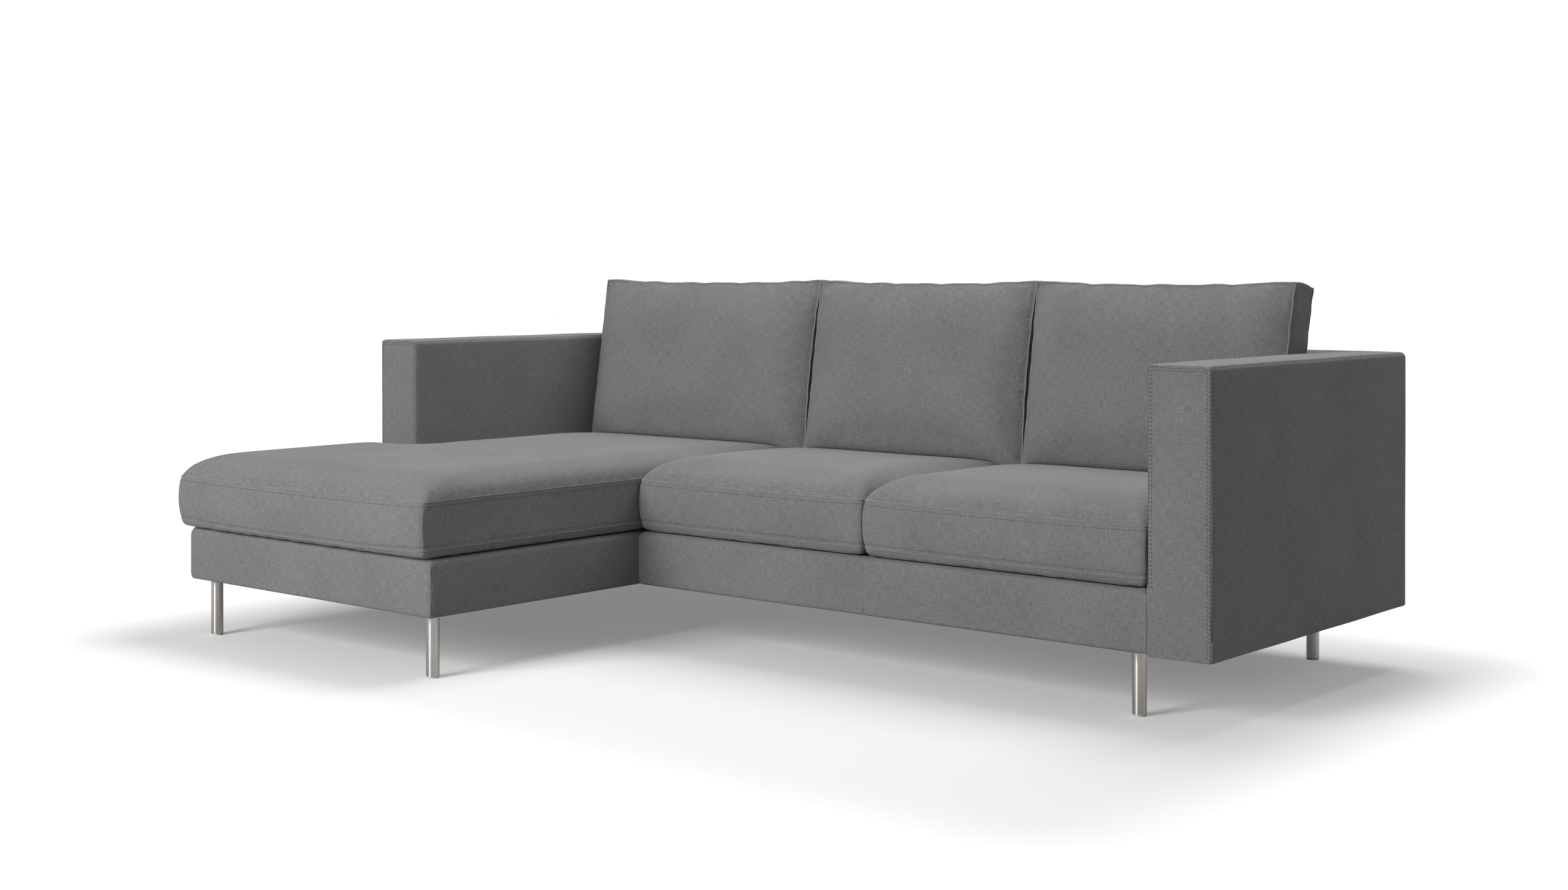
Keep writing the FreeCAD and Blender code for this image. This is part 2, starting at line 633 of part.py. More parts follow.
def back_cushion_shape(x0, x1, z0, i):
    """Leaning pillow from x0 to x1 on the level z0, with every face moved in by i."""
    rise = (back_cushion_height - 2 * i) * cos(lean)
    z_low = z0 + i
    y_low = y_contact + (z_low - z_seat_crest) * tan(lean) + i / cos(lean)
    up = V(0, rise * tan(lean), rise)
    thickness = back_cushion_gusset - 2 * i
    front_low = V(x0 - prism_margin, y_low, z_low)
    front_top = front_low + up
    back_top = front_top + V(0, thickness * cos(lean), -thickness * sin(lean))
    back_low = front_low + V(0, thickness / cos(lean), 0)
    side = Part.Face(Part.Wire([
        bulged_line(front_low, front_top, V(0, -back_cushion_front_bulge, 0)),
        Part.makeLine(front_top, back_top),
        bulged_line(back_top, back_low, V(0, back_cushion_back_bulge, 0)),
        Part.makeLine(back_low, front_low)]))
    side = side.extrude(V(x1 - x0 + 2 * prism_margin, 0, 0))
    under = V(0, -prism_margin * tan(lean), -prism_margin)
    full = back_cushion_side_fullness
    left_front = V(x0 + i, y_low, z_low) + under
    right_front = V(x1 - i, y_low, z_low) + under
    deep = V(0, thickness / cos(lean), 0)
    plan = Part.Face(Part.Wire([
        bulged_line(left_front, right_front, V(0, -back_cushion_front_bulge * full, 0)),
        Part.makeLine(right_front, right_front + deep),
        bulged_line(right_front + deep, left_front + deep, V(0, back_cushion_back_bulge * full, 0)),
        Part.makeLine(left_front + deep, left_front)]))
    plan = plan.extrude(up - under * 2)
    return side.common(plan).Solids[0]


def back_cushion(name, x0, x1, z0):
    """Filling and cover of a back cushion."""
    c = cover_thickness
    cover = back_cushion_shape(x0, x1, z0, 0).cut(back_cushion_shape(x0, x1, z0, c))
    save(name + "_cover", [cover])
    save(name + "_filling", [back_cushion_shape(x0, x1, z0, c + core_gap)])


x_first = x_module + left_back_cushion_reach
x_second = (x_first + x_right_in) / 2
chaise_level = crown_height(y_contact, chaise_cushion_front, y_seat_back, z_seat_crest) + rest_gap
main_level = crown_height(y_contact, y_front, y_seat_back, z_seat_crest) + rest_gap
left_level = max(chaise_level, main_level)
half_gap = cushion_gap / 2
back_cushion("left_back_cushion", x_left_in + cushion_gap, x_first - half_gap, left_level)
back_cushion("middle_back_cushion", x_first + half_gap, x_second - half_gap, main_level)
back_cushion("right_back_cushion", x_second + half_gap, x_right_in - cushion_gap, main_level)
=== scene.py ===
# Sectional sofa with a chaise on its left, upholstered in plain grey woven cloth.
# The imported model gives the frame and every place; this script dresses it in the order in
# which the sofa is put together. Metres, +Z up, the front faces -Y.

from math import radians

import bpy
import numpy as np
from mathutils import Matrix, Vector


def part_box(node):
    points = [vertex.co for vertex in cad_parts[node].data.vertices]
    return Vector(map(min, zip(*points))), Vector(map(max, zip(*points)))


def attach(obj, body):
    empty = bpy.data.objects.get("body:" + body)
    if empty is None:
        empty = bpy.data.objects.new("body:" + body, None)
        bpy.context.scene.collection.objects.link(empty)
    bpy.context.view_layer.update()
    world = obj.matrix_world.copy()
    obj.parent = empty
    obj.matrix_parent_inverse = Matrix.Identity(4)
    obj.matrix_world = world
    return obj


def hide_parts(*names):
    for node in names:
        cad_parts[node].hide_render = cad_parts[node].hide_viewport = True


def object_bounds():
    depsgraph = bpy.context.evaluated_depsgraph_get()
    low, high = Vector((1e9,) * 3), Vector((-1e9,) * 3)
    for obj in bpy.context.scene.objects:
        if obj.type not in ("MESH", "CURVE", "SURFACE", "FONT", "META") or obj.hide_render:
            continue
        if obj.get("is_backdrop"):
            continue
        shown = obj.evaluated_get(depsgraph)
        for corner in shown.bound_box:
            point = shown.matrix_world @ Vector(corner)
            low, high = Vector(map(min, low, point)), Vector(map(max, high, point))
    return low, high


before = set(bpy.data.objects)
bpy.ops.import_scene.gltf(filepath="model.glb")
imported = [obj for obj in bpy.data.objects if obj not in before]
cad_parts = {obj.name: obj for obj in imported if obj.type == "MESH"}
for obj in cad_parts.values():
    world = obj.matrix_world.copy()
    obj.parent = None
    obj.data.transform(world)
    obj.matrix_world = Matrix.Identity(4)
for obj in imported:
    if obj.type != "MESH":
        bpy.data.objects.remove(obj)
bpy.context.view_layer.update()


# Camera: where the photographer stood, nearly five metres away at the front right and as high
# as the back cushions' tops. The lens points level and is shifted down.

camera_data = bpy.data.cameras.new("studio_camera")
camera_data.sensor_width = 36
camera_data.lens = 46.29
camera_data.shift_y = -0.1099
camera = bpy.data.objects.new("studio_camera", camera_data)
camera.location = (3.1761, -3.6889, 0.9108)
camera.rotation_euler = (radians(90), 0, radians(40.275))
bpy.context.scene.collection.objects.link(camera)
bpy.context.scene.camera = camera
bpy.context.scene.view_settings.view_transform = "Standard"


# Studio: a pale painted floor that fades to the white of the backdrop, a wide soft lamp in
# front, a weaker one overhead, a faint one at the right, and a pale room all round.

def linear(code):
    """Linear colour of an sRGB hex code, by the standard curve: ((c + 0.055) / 1.055) ** 2.4."""
    parts = [int(code[i:i + 2], 16) / 255 for i in (1, 3, 5)]
    return [((c + 0.055) / 1.055) ** 2.4 if c > 0.04045 else c / 12.92 for c in parts] + [1.0]


def add(tree, kind, inputs=None, **settings):
    """Add a node with its settings. An input is a value, or the socket that it is linked to."""
    node = tree.nodes.new(kind)
    for name, value in settings.items():
        setattr(node, name, value)
    for name, value in (inputs or {}).items():
        if isinstance(value, bpy.types.NodeSocket):
            tree.links.new(value, node.inputs[name])
        else:
            node.inputs[name].default_value = value
    return node


def new_tree(owner):
    """Empty node tree of a material or a world."""
    owner.use_nodes = True
    owner.node_tree.nodes.clear()
    return owner.node_tree


floor_reach = 14.0
floor_mesh = bpy.data.meshes.new("studio_floor")
floor_mesh.from_pydata([(floor_reach * x, floor_reach * y, 0)
                        for x, y in ((-1, -1), (1, -1), (1, 1), (-1, 1))], [], [(0, 1, 2, 3)])
studio_floor = bpy.data.objects.new("studio_floor", floor_mesh)
bpy.context.scene.collection.objects.link(studio_floor)
studio_floor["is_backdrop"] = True

# Matt floor paint: pale, and lost in the white of the backdrop half a metre beyond the sofa's
# outline. Only the camera sees it so: other light meets a duller floor, and from below it is clear.
sofa_reach = (1.26, 0.8, 0)
floor_paint = bpy.data.materials.new("matt_studio_floor_paint")
tree = new_tree(floor_paint)
place = add(tree, "ShaderNodeTexCoord").outputs["Object"]
beyond = add(tree, "ShaderNodeVectorMath", {0: place}, operation="ABSOLUTE").outputs[0]
beyond = add(tree, "ShaderNodeVectorMath", {0: beyond, 1: sofa_reach}, operation="SUBTRACT").outputs[0]
beyond = add(tree, "ShaderNodeVectorMath", {0: beyond, 1: (0, 0, 0)}, operation="MAXIMUM").outputs[0]
beyond = add(tree, "ShaderNodeVectorMath", {0: beyond}, operation="LENGTH").outputs["Value"]
fade = add(tree, "ShaderNodeMapRange", {"Value": beyond, "From Min": 0.05, "From Max": 0.5, "To Min": 0.2},
           interpolation_type="SMOOTHSTEP").outputs["Result"]
path = add(tree, "ShaderNodeLightPath")
seen = add(tree, "ShaderNodeMath", {0: path.outputs["Is Glossy Ray"], 1: 0.5,
                                    2: path.outputs["Is Camera Ray"]},
           operation="MULTIPLY_ADD", use_clamp=True).outputs[0]
paint = add(tree, "ShaderNodeBsdfDiffuse", {"Color": linear("#f4f4f4")})
white = add(tree, "ShaderNodeEmission", {"Color": linear("#ffffff"), "Strength": 1.15})
shown = add(tree, "ShaderNodeMixShader", {0: fade, 1: paint.outputs[0], 2: white.outputs[0]})
dull = add(tree, "ShaderNodeBsdfDiffuse", {"Color": linear("#a8a8a8")})
mixed = add(tree, "ShaderNodeMixShader", {0: seen, 1: dull.outputs[0], 2: shown.outputs[0]})
clear = add(tree, "ShaderNodeBsdfTransparent")
under = add(tree, "ShaderNodeNewGeometry").outputs["Backfacing"]
mixed = add(tree, "ShaderNodeMixShader", {0: under, 1: mixed.outputs[0], 2: clear.outputs[0]})
add(tree, "ShaderNodeOutputMaterial", {"Surface": mixed.outputs[0]})
floor_mesh.materials.append(floor_paint)

room = bpy.data.worlds.new("pale_room")
bpy.context.scene.world = room
tree = new_tree(room)
path = add(tree, "ShaderNodeLightPath")
light = add(tree, "ShaderNodeBackground", {"Color": linear("#ffffff"), "Strength": 0.16})
backdrop = add(tree, "ShaderNodeBackground", {"Color": linear("#ffffff"), "Strength": 1.0})
direct = add(tree, "ShaderNodeMath", {0: path.outputs["Is Camera Ray"],
                                      1: path.outputs["Is Transmission Ray"]}, operation="MAXIMUM")
mixed = add(tree, "ShaderNodeMixShader", {0: direct.outputs[0], 1: light.outputs[0],
                                          2: backdrop.outputs[0]})
add(tree, "ShaderNodeOutputWorld", {"Surface": mixed.outputs[0]})


def softbox(name, place, aim, size, power):
    """Square lamp that faces a point."""
    lamp = bpy.data.lights.new(name, "AREA")
    lamp.shape = "SQUARE"
    lamp.size = size
    lamp.energy = power
    holder = bpy.data.objects.new(name, lamp)
    holder.location = place
    way = np.array(place) - np.array(aim)
    flat = np.hypot(way[0], way[1])
    holder.rotation_euler = (np.arctan2(flat, way[2]), 0, np.arctan2(way[0], -way[1]))
    bpy.context.scene.collection.objects.link(holder)


softbox("front_softbox", (-0.9, -5.9, 2.8), (-0.1, -0.1, 0.3), 2.5, 330)
softbox("overhead_softbox", (0.2, 1.7, 4.1), (0.1, 0.2, 0.0), 3.0, 112)
softbox("right_softbox", (4.6, 1.6, 2.6), (0.0, 0.2, 0.4), 2.4, 24)


# Legs: tubes of stainless steel, ground round and polished to a soft shine, with a welded cap
# and a stud that screws into a zinc-plated plate. A pressed-in plastic glide closes the foot.

def metal(name, colour, roughness, grain_mm, streak):
    """Metal whose gloss varies in fine streaks round the piece, grain_mm apart up its length."""
    material = bpy.data.materials.new(name)
    tree = new_tree(material)
    place = add(tree, "ShaderNodeTexCoord").outputs["Object"]
    squeezed = add(tree, "ShaderNodeMapping", {"Vector": place, "Scale": (streak, streak, 1.0)})
    lines = add(tree, "ShaderNodeTexNoise", {"Vector": squeezed.outputs[0], "Detail": 3.0,
                                             "Scale": 1000 / grain_mm})
    gloss = add(tree, "ShaderNodeMapRange", {"Value": lines.outputs["Fac"], "From Min": 0.3,
                                             "From Max": 0.7, "To Min": roughness * 0.8,
                                             "To Max": roughness * 1.25})
    tone = add(tree, "ShaderNodeMix", {0: lines.outputs["Fac"], 6: linear(colour[0]),
                                       7: linear(colour[1])}, data_type="RGBA")
    bump = add(tree, "ShaderNodeBump", {"Height": lines.outputs["Fac"], "Strength": 0.25,
                                        "Distance": 0.00005})
    shader = add(tree, "ShaderNodeBsdfPrincipled", {
        "Base Color": tone.outputs[2], "Roughness": gloss.outputs[0], "Metallic": 1.0,
        "Normal": bump.outputs[0]})
    add(tree, "ShaderNodeOutputMaterial", {"Surface": shader.outputs[0]})
    return material


def moulded(name, colours, roughness, fleck_mm, specular=0.4):
    """Dull solid such as moulded plastic, board or foam, mottled at a scale of fleck_mm."""
    material = bpy.data.materials.new(name)
    tree = new_tree(material)
    place = add(tree, "ShaderNodeTexCoord").outputs["Object"]
    flecks = add(tree, "ShaderNodeTexNoise", {"Vector": place, "Detail": 5.0, "Scale": 1000 / fleck_mm})
    clouds = add(tree, "ShaderNodeTexNoise", {"Vector": place, "Detail": 2.0, "Scale": 14.0})
    both = add(tree, "ShaderNodeMath", {0: flecks.outputs["Fac"], 1: clouds.outputs["Fac"]},
               operation="MULTIPLY")
    share = add(tree, "ShaderNodeMapRange", {"Value": both.outputs[0], "From Min": 0.1, "From Max": 0.4})
    tone = add(tree, "ShaderNodeMix", {0: share.outputs[0], 6: linear(colours[0]),
                                       7: linear(colours[1])}, data_type="RGBA")
    bump = add(tree, "ShaderNodeBump", {"Height": flecks.outputs["Fac"], "Strength": 0.4,
                                        "Distance": 0.0003})
    shader = add(tree, "ShaderNodeBsdfPrincipled", {
        "Base Color": tone.outputs[2], "Roughness": roughness, "Specular IOR Level": specular,
        "Normal": bump.outputs[0]})
    add(tree, "ShaderNodeOutputMaterial", {"Surface": shader.outputs[0]})
    return material


def give(material, slot, *nodes):
    """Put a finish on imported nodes."""
    for node in nodes:
        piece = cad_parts[node]
        for place in piece.material_slots:
            place.material = material


# Ground stainless: slightly warm grey. The marks run round the tube, so the lamps draw out into
# bright bands along it.
polished_stainless = metal("ground_stainless_tube", ("#c8c3bd", "#dad6d1"), 0.30, 0.5, 0.08)
tree = polished_stainless.node_tree
shader = next(node for node in tree.nodes if node.type == "BSDF_PRINCIPLED")
round_it = add(tree, "ShaderNodeTangent", direction_type="RADIAL", axis="Z")
tree.links.new(round_it.outputs[0], shader.inputs["Tangent"])
shader.inputs["Anisotropic"].default_value = 0.85
shader.inputs["Anisotropic Rotation"].default_value = 0.25
give(polished_stainless, "brushed_steel", "leg_chaise_back_left", "leg_chaise_back_right",
     "leg_chaise_front_left", "leg_chaise_front_right", "leg_main_back_right",
     "leg_main_front_right")
# Zinc plate: dull bluish grey with a cloudy sheen.
zinc_plate = metal("zinc_plated_steel", ("#9a9c9e", "#b5b7ba"), 0.42, 4.0, 1.0)
give(zinc_plate, "zinc_steel", "leg_plates", "leg_plate_screws", "module_bolts", "left_arm_bolts",
     "right_arm_bolts", "frame_nuts", "back_post_screws")
# Injection-moulded polyethylene: milky, slightly waxy.
glide_polyethylene = moulded("moulded_polyethylene_glide", ("#cfcdc8", "#dcdad6"), 0.45, 2.0)
give(glide_polyethylene, "glide_plastic", "leg_glides")


# Timber frame: planed pine rails, posts and boards, glued and screwed, with hardboard panels
# on the arms and backs.

def planed_pine(name, grain):
    """Sawn and planed pine. Rings are noise bands drawn out forty times along the grain axis."""
    material = bpy.data.materials.new(name)
    tree = new_tree(material)
    place = add(tree, "ShaderNodeTexCoord").outputs["Object"]
    drawn = [1.0, 1.0, 1.0]
    drawn[grain] = 0.025
    along = add(tree, "ShaderNodeMapping", {"Vector": place, "Scale": drawn})
    rings = add(tree, "ShaderNodeTexNoise", {"Vector": along.outputs[0], "Scale": 160.0,
                                             "Detail": 4.0, "Distortion": 0.6})
    pores = add(tree, "ShaderNodeTexNoise", {"Vector": along.outputs[0], "Scale": 900.0, "Detail": 2.0})
    band = add(tree, "ShaderNodeMapRange", {"Value": rings.outputs["Fac"], "From Min": 0.35,
                                            "From Max": 0.68})
    wood = add(tree, "ShaderNodeMix", {0: band.outputs[0], 6: linear("#d3b083"),
                                       7: linear("#a97c4c")}, data_type="RGBA")
    bump = add(tree, "ShaderNodeBump", {"Height": pores.outputs["Fac"], "Strength": 0.5,
                                        "Distance": 0.0003})
    shader = add(tree, "ShaderNodeBsdfPrincipled", {
        "Base Color": wood.outputs[2], "Roughness": 0.62, "Normal": bump.outputs[0]})
    add(tree, "ShaderNodeOutputMaterial", {"Surface": shader.outputs[0]})
    return material


give(planed_pine("planed_pine_along_the_sofa", 0), "timber", "chaise_end_rails", "main_long_rails",
     "chaise_cross_rails", "chaise_back_frame", "main_back_frame")
give(planed_pine("planed_pine_front_to_back", 1), "timber", "chaise_side_rails", "main_end_rails",
     "main_cross_rail", "left_arm_boards", "right_arm_boards")
give(planed_pine("planed_pine_upright", 2), "timber", "left_arm_posts", "right_arm_posts",
     "leg_blocks")
# Hardboard: pressed brown fibre, smooth and slightly glossy on its face.
give(moulded("pressed_hardboard", ("#5b4130", "#785843"), 0.5, 1.5), "hardboard",
     "left_arm_panels", "right_arm_panels", "chaise_back_panels", "main_back_panels")


# Foam and webbing: sheets of cream foam glued on the panels, and elastic straps stapled over
# the rails, woven with a darker line along each edge.

# Cut polyurethane foam: cream, open-celled, no shine.
give(moulded("cut_polyurethane_foam", ("#d9d0b4", "#eae3cd"), 0.95, 1.2, 0.1), "foam",
     "left_arm_padding", "right_arm_padding", "chaise_back_padding", "main_back_padding")


def ribbed_webbing(name, across):
    """Elastic webbing: ribs 3 mm apart across the strap, with darker threads between them."""
    material = bpy.data.materials.new(name)
    tree = new_tree(material)
    place = add(tree, "ShaderNodeTexCoord").outputs["Object"]
    ribs = add(tree, "ShaderNodeTexWave", {"Vector": place, "Scale": 0.31416 / 0.003},
               bands_direction=across)
    tone = add(tree, "ShaderNodeMix", {0: ribs.outputs["Fac"], 6: linear("#4a3f33"),
                                       7: linear("#9c8866")}, data_type="RGBA")
    bump = add(tree, "ShaderNodeBump", {"Height": ribs.outputs["Fac"], "Strength": 0.6,
                                        "Distance": 0.0006})
    shader = add(tree, "ShaderNodeBsdfPrincipled", {
        "Base Color": tone.outputs[2], "Roughness": 0.85, "Specular IOR Level": 0.2,
        "Normal": bump.outputs[0]})
    add(tree, "ShaderNodeOutputMaterial", {"Surface": shader.outputs[0]})
    return material


give(ribbed_webbing("webbing_side_to_side", "X"), "webbing", "chaise_webbing")
give(ribbed_webbing("webbing_front_to_back", "Y"), "webbing", "main_webbing")


# Base covers: cloth with bonded wadding, drawn tight round the rails and stapled in a lip over
# and under them. The corners are sewn, and the long front of the two-seater has one join.

def woven_cloth(name, dark, light, thread_mm, slub_mm, lift, nap=0.25):
    """Plain-woven cloth in the piece's own UV map, which is in metres along its threads. Threads
    cross where the product of two sine waves changes sign. Its two tones are mixed by a weighted
    sum: short streaks for slubs in single threads, the crossings, loose fuzz and broad clouds."""
    material = bpy.data.materials.new(name)
    tree = new_tree(material)
    cloth = add(tree, "ShaderNodeUVMap", uv_map="cloth").outputs[0]
    waves = []
    for way in ("X", "Y"):
        wave = add(tree, "ShaderNodeTexWave", {"Vector": cloth, "Scale": 0.31416 * 500 / thread_mm},
                   bands_direction=way)
        waves.append(add(tree, "ShaderNodeMapRange", {"Value": wave.outputs["Fac"], "To Min": -1.0})
                     .outputs[0])
    crossing = add(tree, "ShaderNodeMath", {0: waves[0], 1: waves[1]}, operation="MULTIPLY").outputs[0]
    streaks = []
    for scale in ((1000 / slub_mm, 1000 / slub_mm / 14, 1.0), (1000 / slub_mm / 14, 1000 / slub_mm, 1.0)):
        drawn = add(tree, "ShaderNodeMapping", {"Vector": cloth, "Scale": scale})
        noise = add(tree, "ShaderNodeTexNoise", {"Vector": drawn.outputs[0], "Scale": 1.0, "Detail": 3.0,
                                                 "Roughness": 0.6})
        streaks.append(noise.outputs["Fac"])
    slubs = add(tree, "ShaderNodeMath", {0: streaks[0], 1: streaks[1]}, operation="ADD").outputs[0]
    fuzz = add(tree, "ShaderNodeTexNoise", {"Vector": cloth, "Scale": 650.0, "Detail": 2.0}).outputs["Fac"]
    cloud = add(tree, "ShaderNodeTexNoise", {"Vector": cloth, "Scale": 5.0, "Detail": 2.0}).outputs["Fac"]
    share = -1.7
    for value, weight in ((slubs, 1.7), (crossing, 0.2), (fuzz, 0.5), (cloud, 0.5)):
        share = add(tree, "ShaderNodeMath", {0: value, 1: weight, 2: share},
                    operation="MULTIPLY_ADD").outputs[0]
    tone = add(tree, "ShaderNodeMix", {0: share, 6: linear(dark), 7: linear(light)}, data_type="RGBA")
    height = add(tree, "ShaderNodeMath", {0: slubs, 1: 1.2, 2: crossing}, operation="MULTIPLY_ADD")
    bump = add(tree, "ShaderNodeBump", {"Height": height.outputs[0], "Strength": 1.0,
                                        "Distance": lift / 1000})
    shader = add(tree, "ShaderNodeBsdfPrincipled", {
        "Base Color": tone.outputs[2], "Roughness": 0.9, "Specular IOR Level": 0.25,
        "Sheen Weight": nap, "Sheen Roughness": 0.45, "Sheen Tint": linear("#dfe2e6"),
        "Normal": bump.outputs[0]})
    add(tree, "ShaderNodeOutputMaterial", {"Surface": shader.outputs[0]})
    return material


# Polyester canvas in mid grey, yarn-dyed in two close greys: matt, with a fine crossed grain and
# faint streaks. Its threads are 0.8 mm apart, and are drawn 3 mm apart so that they show.
grey_canvas = woven_cloth("grey_polyester_canvas", "#666769", "#898a8c", 3.0, 1.5, 0.25)


# The same canvas on the sewn folds, drawn lighter: partly yarn rubbed on the fold, partly a painted
# highlight on the seam's ridge.
seam_canvas_painted_highlight = woven_cloth("folded_canvas_edge", "#707173", "#959698", 3.0, 1.5, 0.15)


def mesh_piece(name, points, quads, uv, material, body):
    """Smooth mesh from whole arrays: points, quads and the place on the cloth of each quad's
    corners. If the volume that the quads enclose comes out negative, they are turned round."""
    a, b, c, d = (points[quads[:, i]] for i in range(4))
    volume = np.einsum("ij,ij->", a, np.cross(b, c)) + np.einsum("ij,ij->", a, np.cross(c, d))
    if volume < 0:
        quads, uv = quads[:, ::-1], uv[:, ::-1]
    mesh = bpy.data.meshes.new(name)
    mesh.vertices.add(len(points))
    mesh.vertices.foreach_set("co", np.ascontiguousarray(points, np.float32).ravel())
    mesh.loops.add(quads.size)
    mesh.loops.foreach_set("vertex_index", np.ascontiguousarray(quads, np.int32).ravel())
    mesh.polygons.add(len(quads))
    mesh.polygons.foreach_set("loop_start", np.arange(0, quads.size, 4, dtype=np.int32))
    mesh.update(calc_edges=True)
    layer = mesh.uv_layers.new(name="cloth")
    layer.uv.foreach_set("vector", np.ascontiguousarray(uv, np.float32).ravel())
    mesh.shade_smooth()
    mesh.materials.append(material)
    piece = bpy.data.objects.new(name, mesh)
    bpy.context.scene.collection.objects.link(piece)
    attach(piece, body)
    return piece


def grid_quads(rows, columns, rows_loop, columns_loop):
    """Quads of a grid of points and the row and column of their corners, going on past the last
    one where the grid loops."""
    i, j = np.meshgrid(np.arange(rows - (not rows_loop)), np.arange(columns - (not columns_loop)),
                       indexing="ij")
    steps = np.array([(0, 0), (1, 0), (1, 1), (0, 1)])
    at = np.stack([i, j], -1).reshape(-1, 1, 2) + steps
    return (at[..., 0] % rows) * columns + at[..., 1] % columns, at


def spaced(stops, steps):
    """Rising numbers from the first stop to the last, at most a step apart in each interval."""
    parts = [np.linspace(a, b, int(np.ceil((b - a) / step)), endpoint=False)
             for a, b, step in zip(stops[:-1], stops[1:], steps)]
    return np.append(np.concatenate(parts), stops[-1])


def run_length(points):
    """Length along a line of points from its first one."""
    steps = np.linalg.norm(np.diff(points, axis=0), axis=-1)
    return np.concatenate([[0.0], np.cumsum(steps)])


def ripple(points, size):
    """Slight unevenness of stuffed cloth: three sine waves across each other, 0.2 to 0.5 m long."""
    x, y, z = points.T
    return size * (np.sin(13 * x + 7 * z) + np.sin(17 * y - 11 * z + 1) + np.sin(23 * x - 19 * y + 2)) / 3


def cover_ring(low, high, corner, profile):
    """Band round a rectangle. Each profile point is an inset from the outer faces and a height;
    at a corner it turns on an arc of radius corner - inset, or on a mitre where that is under
    zero. Straight runs go between the arcs' ends, in steps of at most 16 mm."""
    inset, level = profile.T
    reach, radius = np.maximum(corner, inset), np.maximum(corner - inset, 0)
    arcs = []
    for k, (sx, sy) in enumerate([(1, -1), (1, 1), (-1, 1), (-1, -1)]):
        angle = radians(90 * k - 90) + np.linspace(0, radians(90), 9)[:, None]
        x = (high[0] if sx > 0 else low[0]) - sx * reach + radius * np.cos(angle)
        y = (high[1] if sy > 0 else low[1]) - sy * reach + radius * np.sin(angle)
        arcs.append(np.stack([x, y, np.broadcast_to(level, x.shape)], -1))
    rows = []
    for arc, following in zip(arcs, arcs[1:] + arcs[:1]):
        length = np.linalg.norm(following[0, 0] - arc[-1, 0])
        share = np.linspace(0, 1, int(length / 0.016) + 2)[1:-1, None, None]
        rows += [arc, arc[-1] * (1 - share) + following[0] * share]
    return np.concatenate(rows)


def base_profile(low_z, high_z):
    """Closed section of a base cover as (inset, height): a face that swells by full * (1 - s ** 2)
    between quarter circles at the top and the bottom, two lips, and an inner face."""
    lip, thick, top, bottom, full = 0.022, 0.006, 0.014, 0.008, 0.0015
    angle = np.linspace(0, radians(90), 9)
    up = np.linspace(-1, 1, 13)
    middle, half = (low_z + bottom + high_z - top) / 2, (high_z - top - low_z - bottom) / 2
    face = np.stack([-full * (1 - up ** 2), middle + half * up], -1)
    over = np.stack([top * (1 - np.cos(angle)), high_z - top + top * np.sin(angle)], -1)[1:]
    under = np.stack([bottom * (1 - np.sin(angle)), low_z + bottom - bottom * np.cos(angle)], -1)[:-1]
    inner = np.array([(lip, high_z), (lip, high_z - thick), (thick, high_z - thick),
                      (thick, low_z + thick), (lip, low_z + thick), (lip, low_z)])
    return np.concatenate([under, face, over, inner])


def seam_cord(name, path, out, radius, body, loop=False):
    """Sewn edge: a thin round fold of the cloth along a path. Each ring of points lies on a circle
    between the outward direction and the one square to it and to the path."""
    ahead = np.roll(path, -1, 0) - np.roll(path, 1, 0)
    if not loop:
        ahead[0], ahead[-1] = path[1] - path[0], path[-1] - path[-2]
    ahead /= np.linalg.norm(ahead, axis=1)[:, None]
    aside = np.cross(out, ahead)
    aside /= np.linalg.norm(aside, axis=1)[:, None]
    above = np.cross(ahead, aside)
    angle = np.linspace(0, 2 * np.pi, 9)[:-1, None]
    size = np.full(len(path), radius)
    if not loop:
        size[0] = size[-1] = radius * 0.02
    ring = (path[:, None] + size[:, None, None] *
            (np.cos(angle) * above[:, None] + np.sin(angle) * aside[:, None]))
    quads, at = grid_quads(len(path), 8, loop, True)
    if not loop:
        ends = np.array([(0, 1, 2, 3), (0, 3, 4, 7), (4, 5, 6, 7)])
        last = len(path) - 1
        quads = np.concatenate([quads, ends, ends[:, ::-1] + 8 * last])
        at = np.concatenate([at, np.stack([0 * ends, ends], -1),
                             np.stack([0 * ends + last, ends[:, ::-1]], -1)])
    length = run_length(np.concatenate([path, path[:1]]))
    uv = np.stack([length[at[..., 0]], at[..., 1] * radius * 0.785], -1)
    # The cord takes the lighter canvas: a painted highlight on the seam's ridge, with some rubbed yarn.
    return mesh_piece(name, ring.reshape(-1, 3), quads, uv, seam_canvas_painted_highlight, body)


front_join_x = 0.389
seam_inset = 0.0022
face_middle, straight_row = 14, 40

for module, corner in (("chaise", 0.009), ("main", 0.0005)):
    low, high = (np.array(end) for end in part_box(module + "_base_cover"))
    band = cover_ring(low, high, corner, base_profile(low[2], high[2]))
    quads, at = grid_quads(*band.shape[:2], True, True)
    around = run_length(np.concatenate([band[:, face_middle], band[:1, face_middle]]))
    across = run_length(np.concatenate([band[straight_row], band[straight_row, :1]]))
    uv = np.stack([around[at[..., 0]], across[at[..., 1]]], -1)
    points = band.reshape(-1, 3)
    middle = (low + high) / 2
    outwards = (points - middle) * (1, 1, 0)
    outwards /= np.abs(outwards).max(axis=1)[:, None] + 1e-9
    points = points + outwards * ripple(points, 0.0006)[:, None]
    cover = mesh_piece(module + "_base_upholstery", points, quads, uv, grey_canvas,
                       "sofa_frame")
    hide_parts(module + "_base_cover")
    upright = np.linspace(low[2] + 0.006, high[2] - 0.010, 12)
    ways = [(1, -1, 0), (-1, -1, 0), (1, 1, 0), (-1, 1, 0)]
    spots = [middle + np.array(way) * ((high - low) / 2 - seam_inset) for way in ways]
    if module == "main":
        ways, spots = [(0, -1, 0)], [(front_join_x, low[1] - 0.0008)]
    for i, (spot, way) in enumerate(zip(spots, ways)):
        line = np.array([(spot[0], spot[1], z) for z in upright])
        seam_cord(f"{module}_base_seam_{i + 1}", line, np.tile(np.array(way, float), (12, 1)), 0.0016,
                  "sofa_frame")


# Dust covers: black spun-bonded cloth stapled under the rails, a little slack between them.

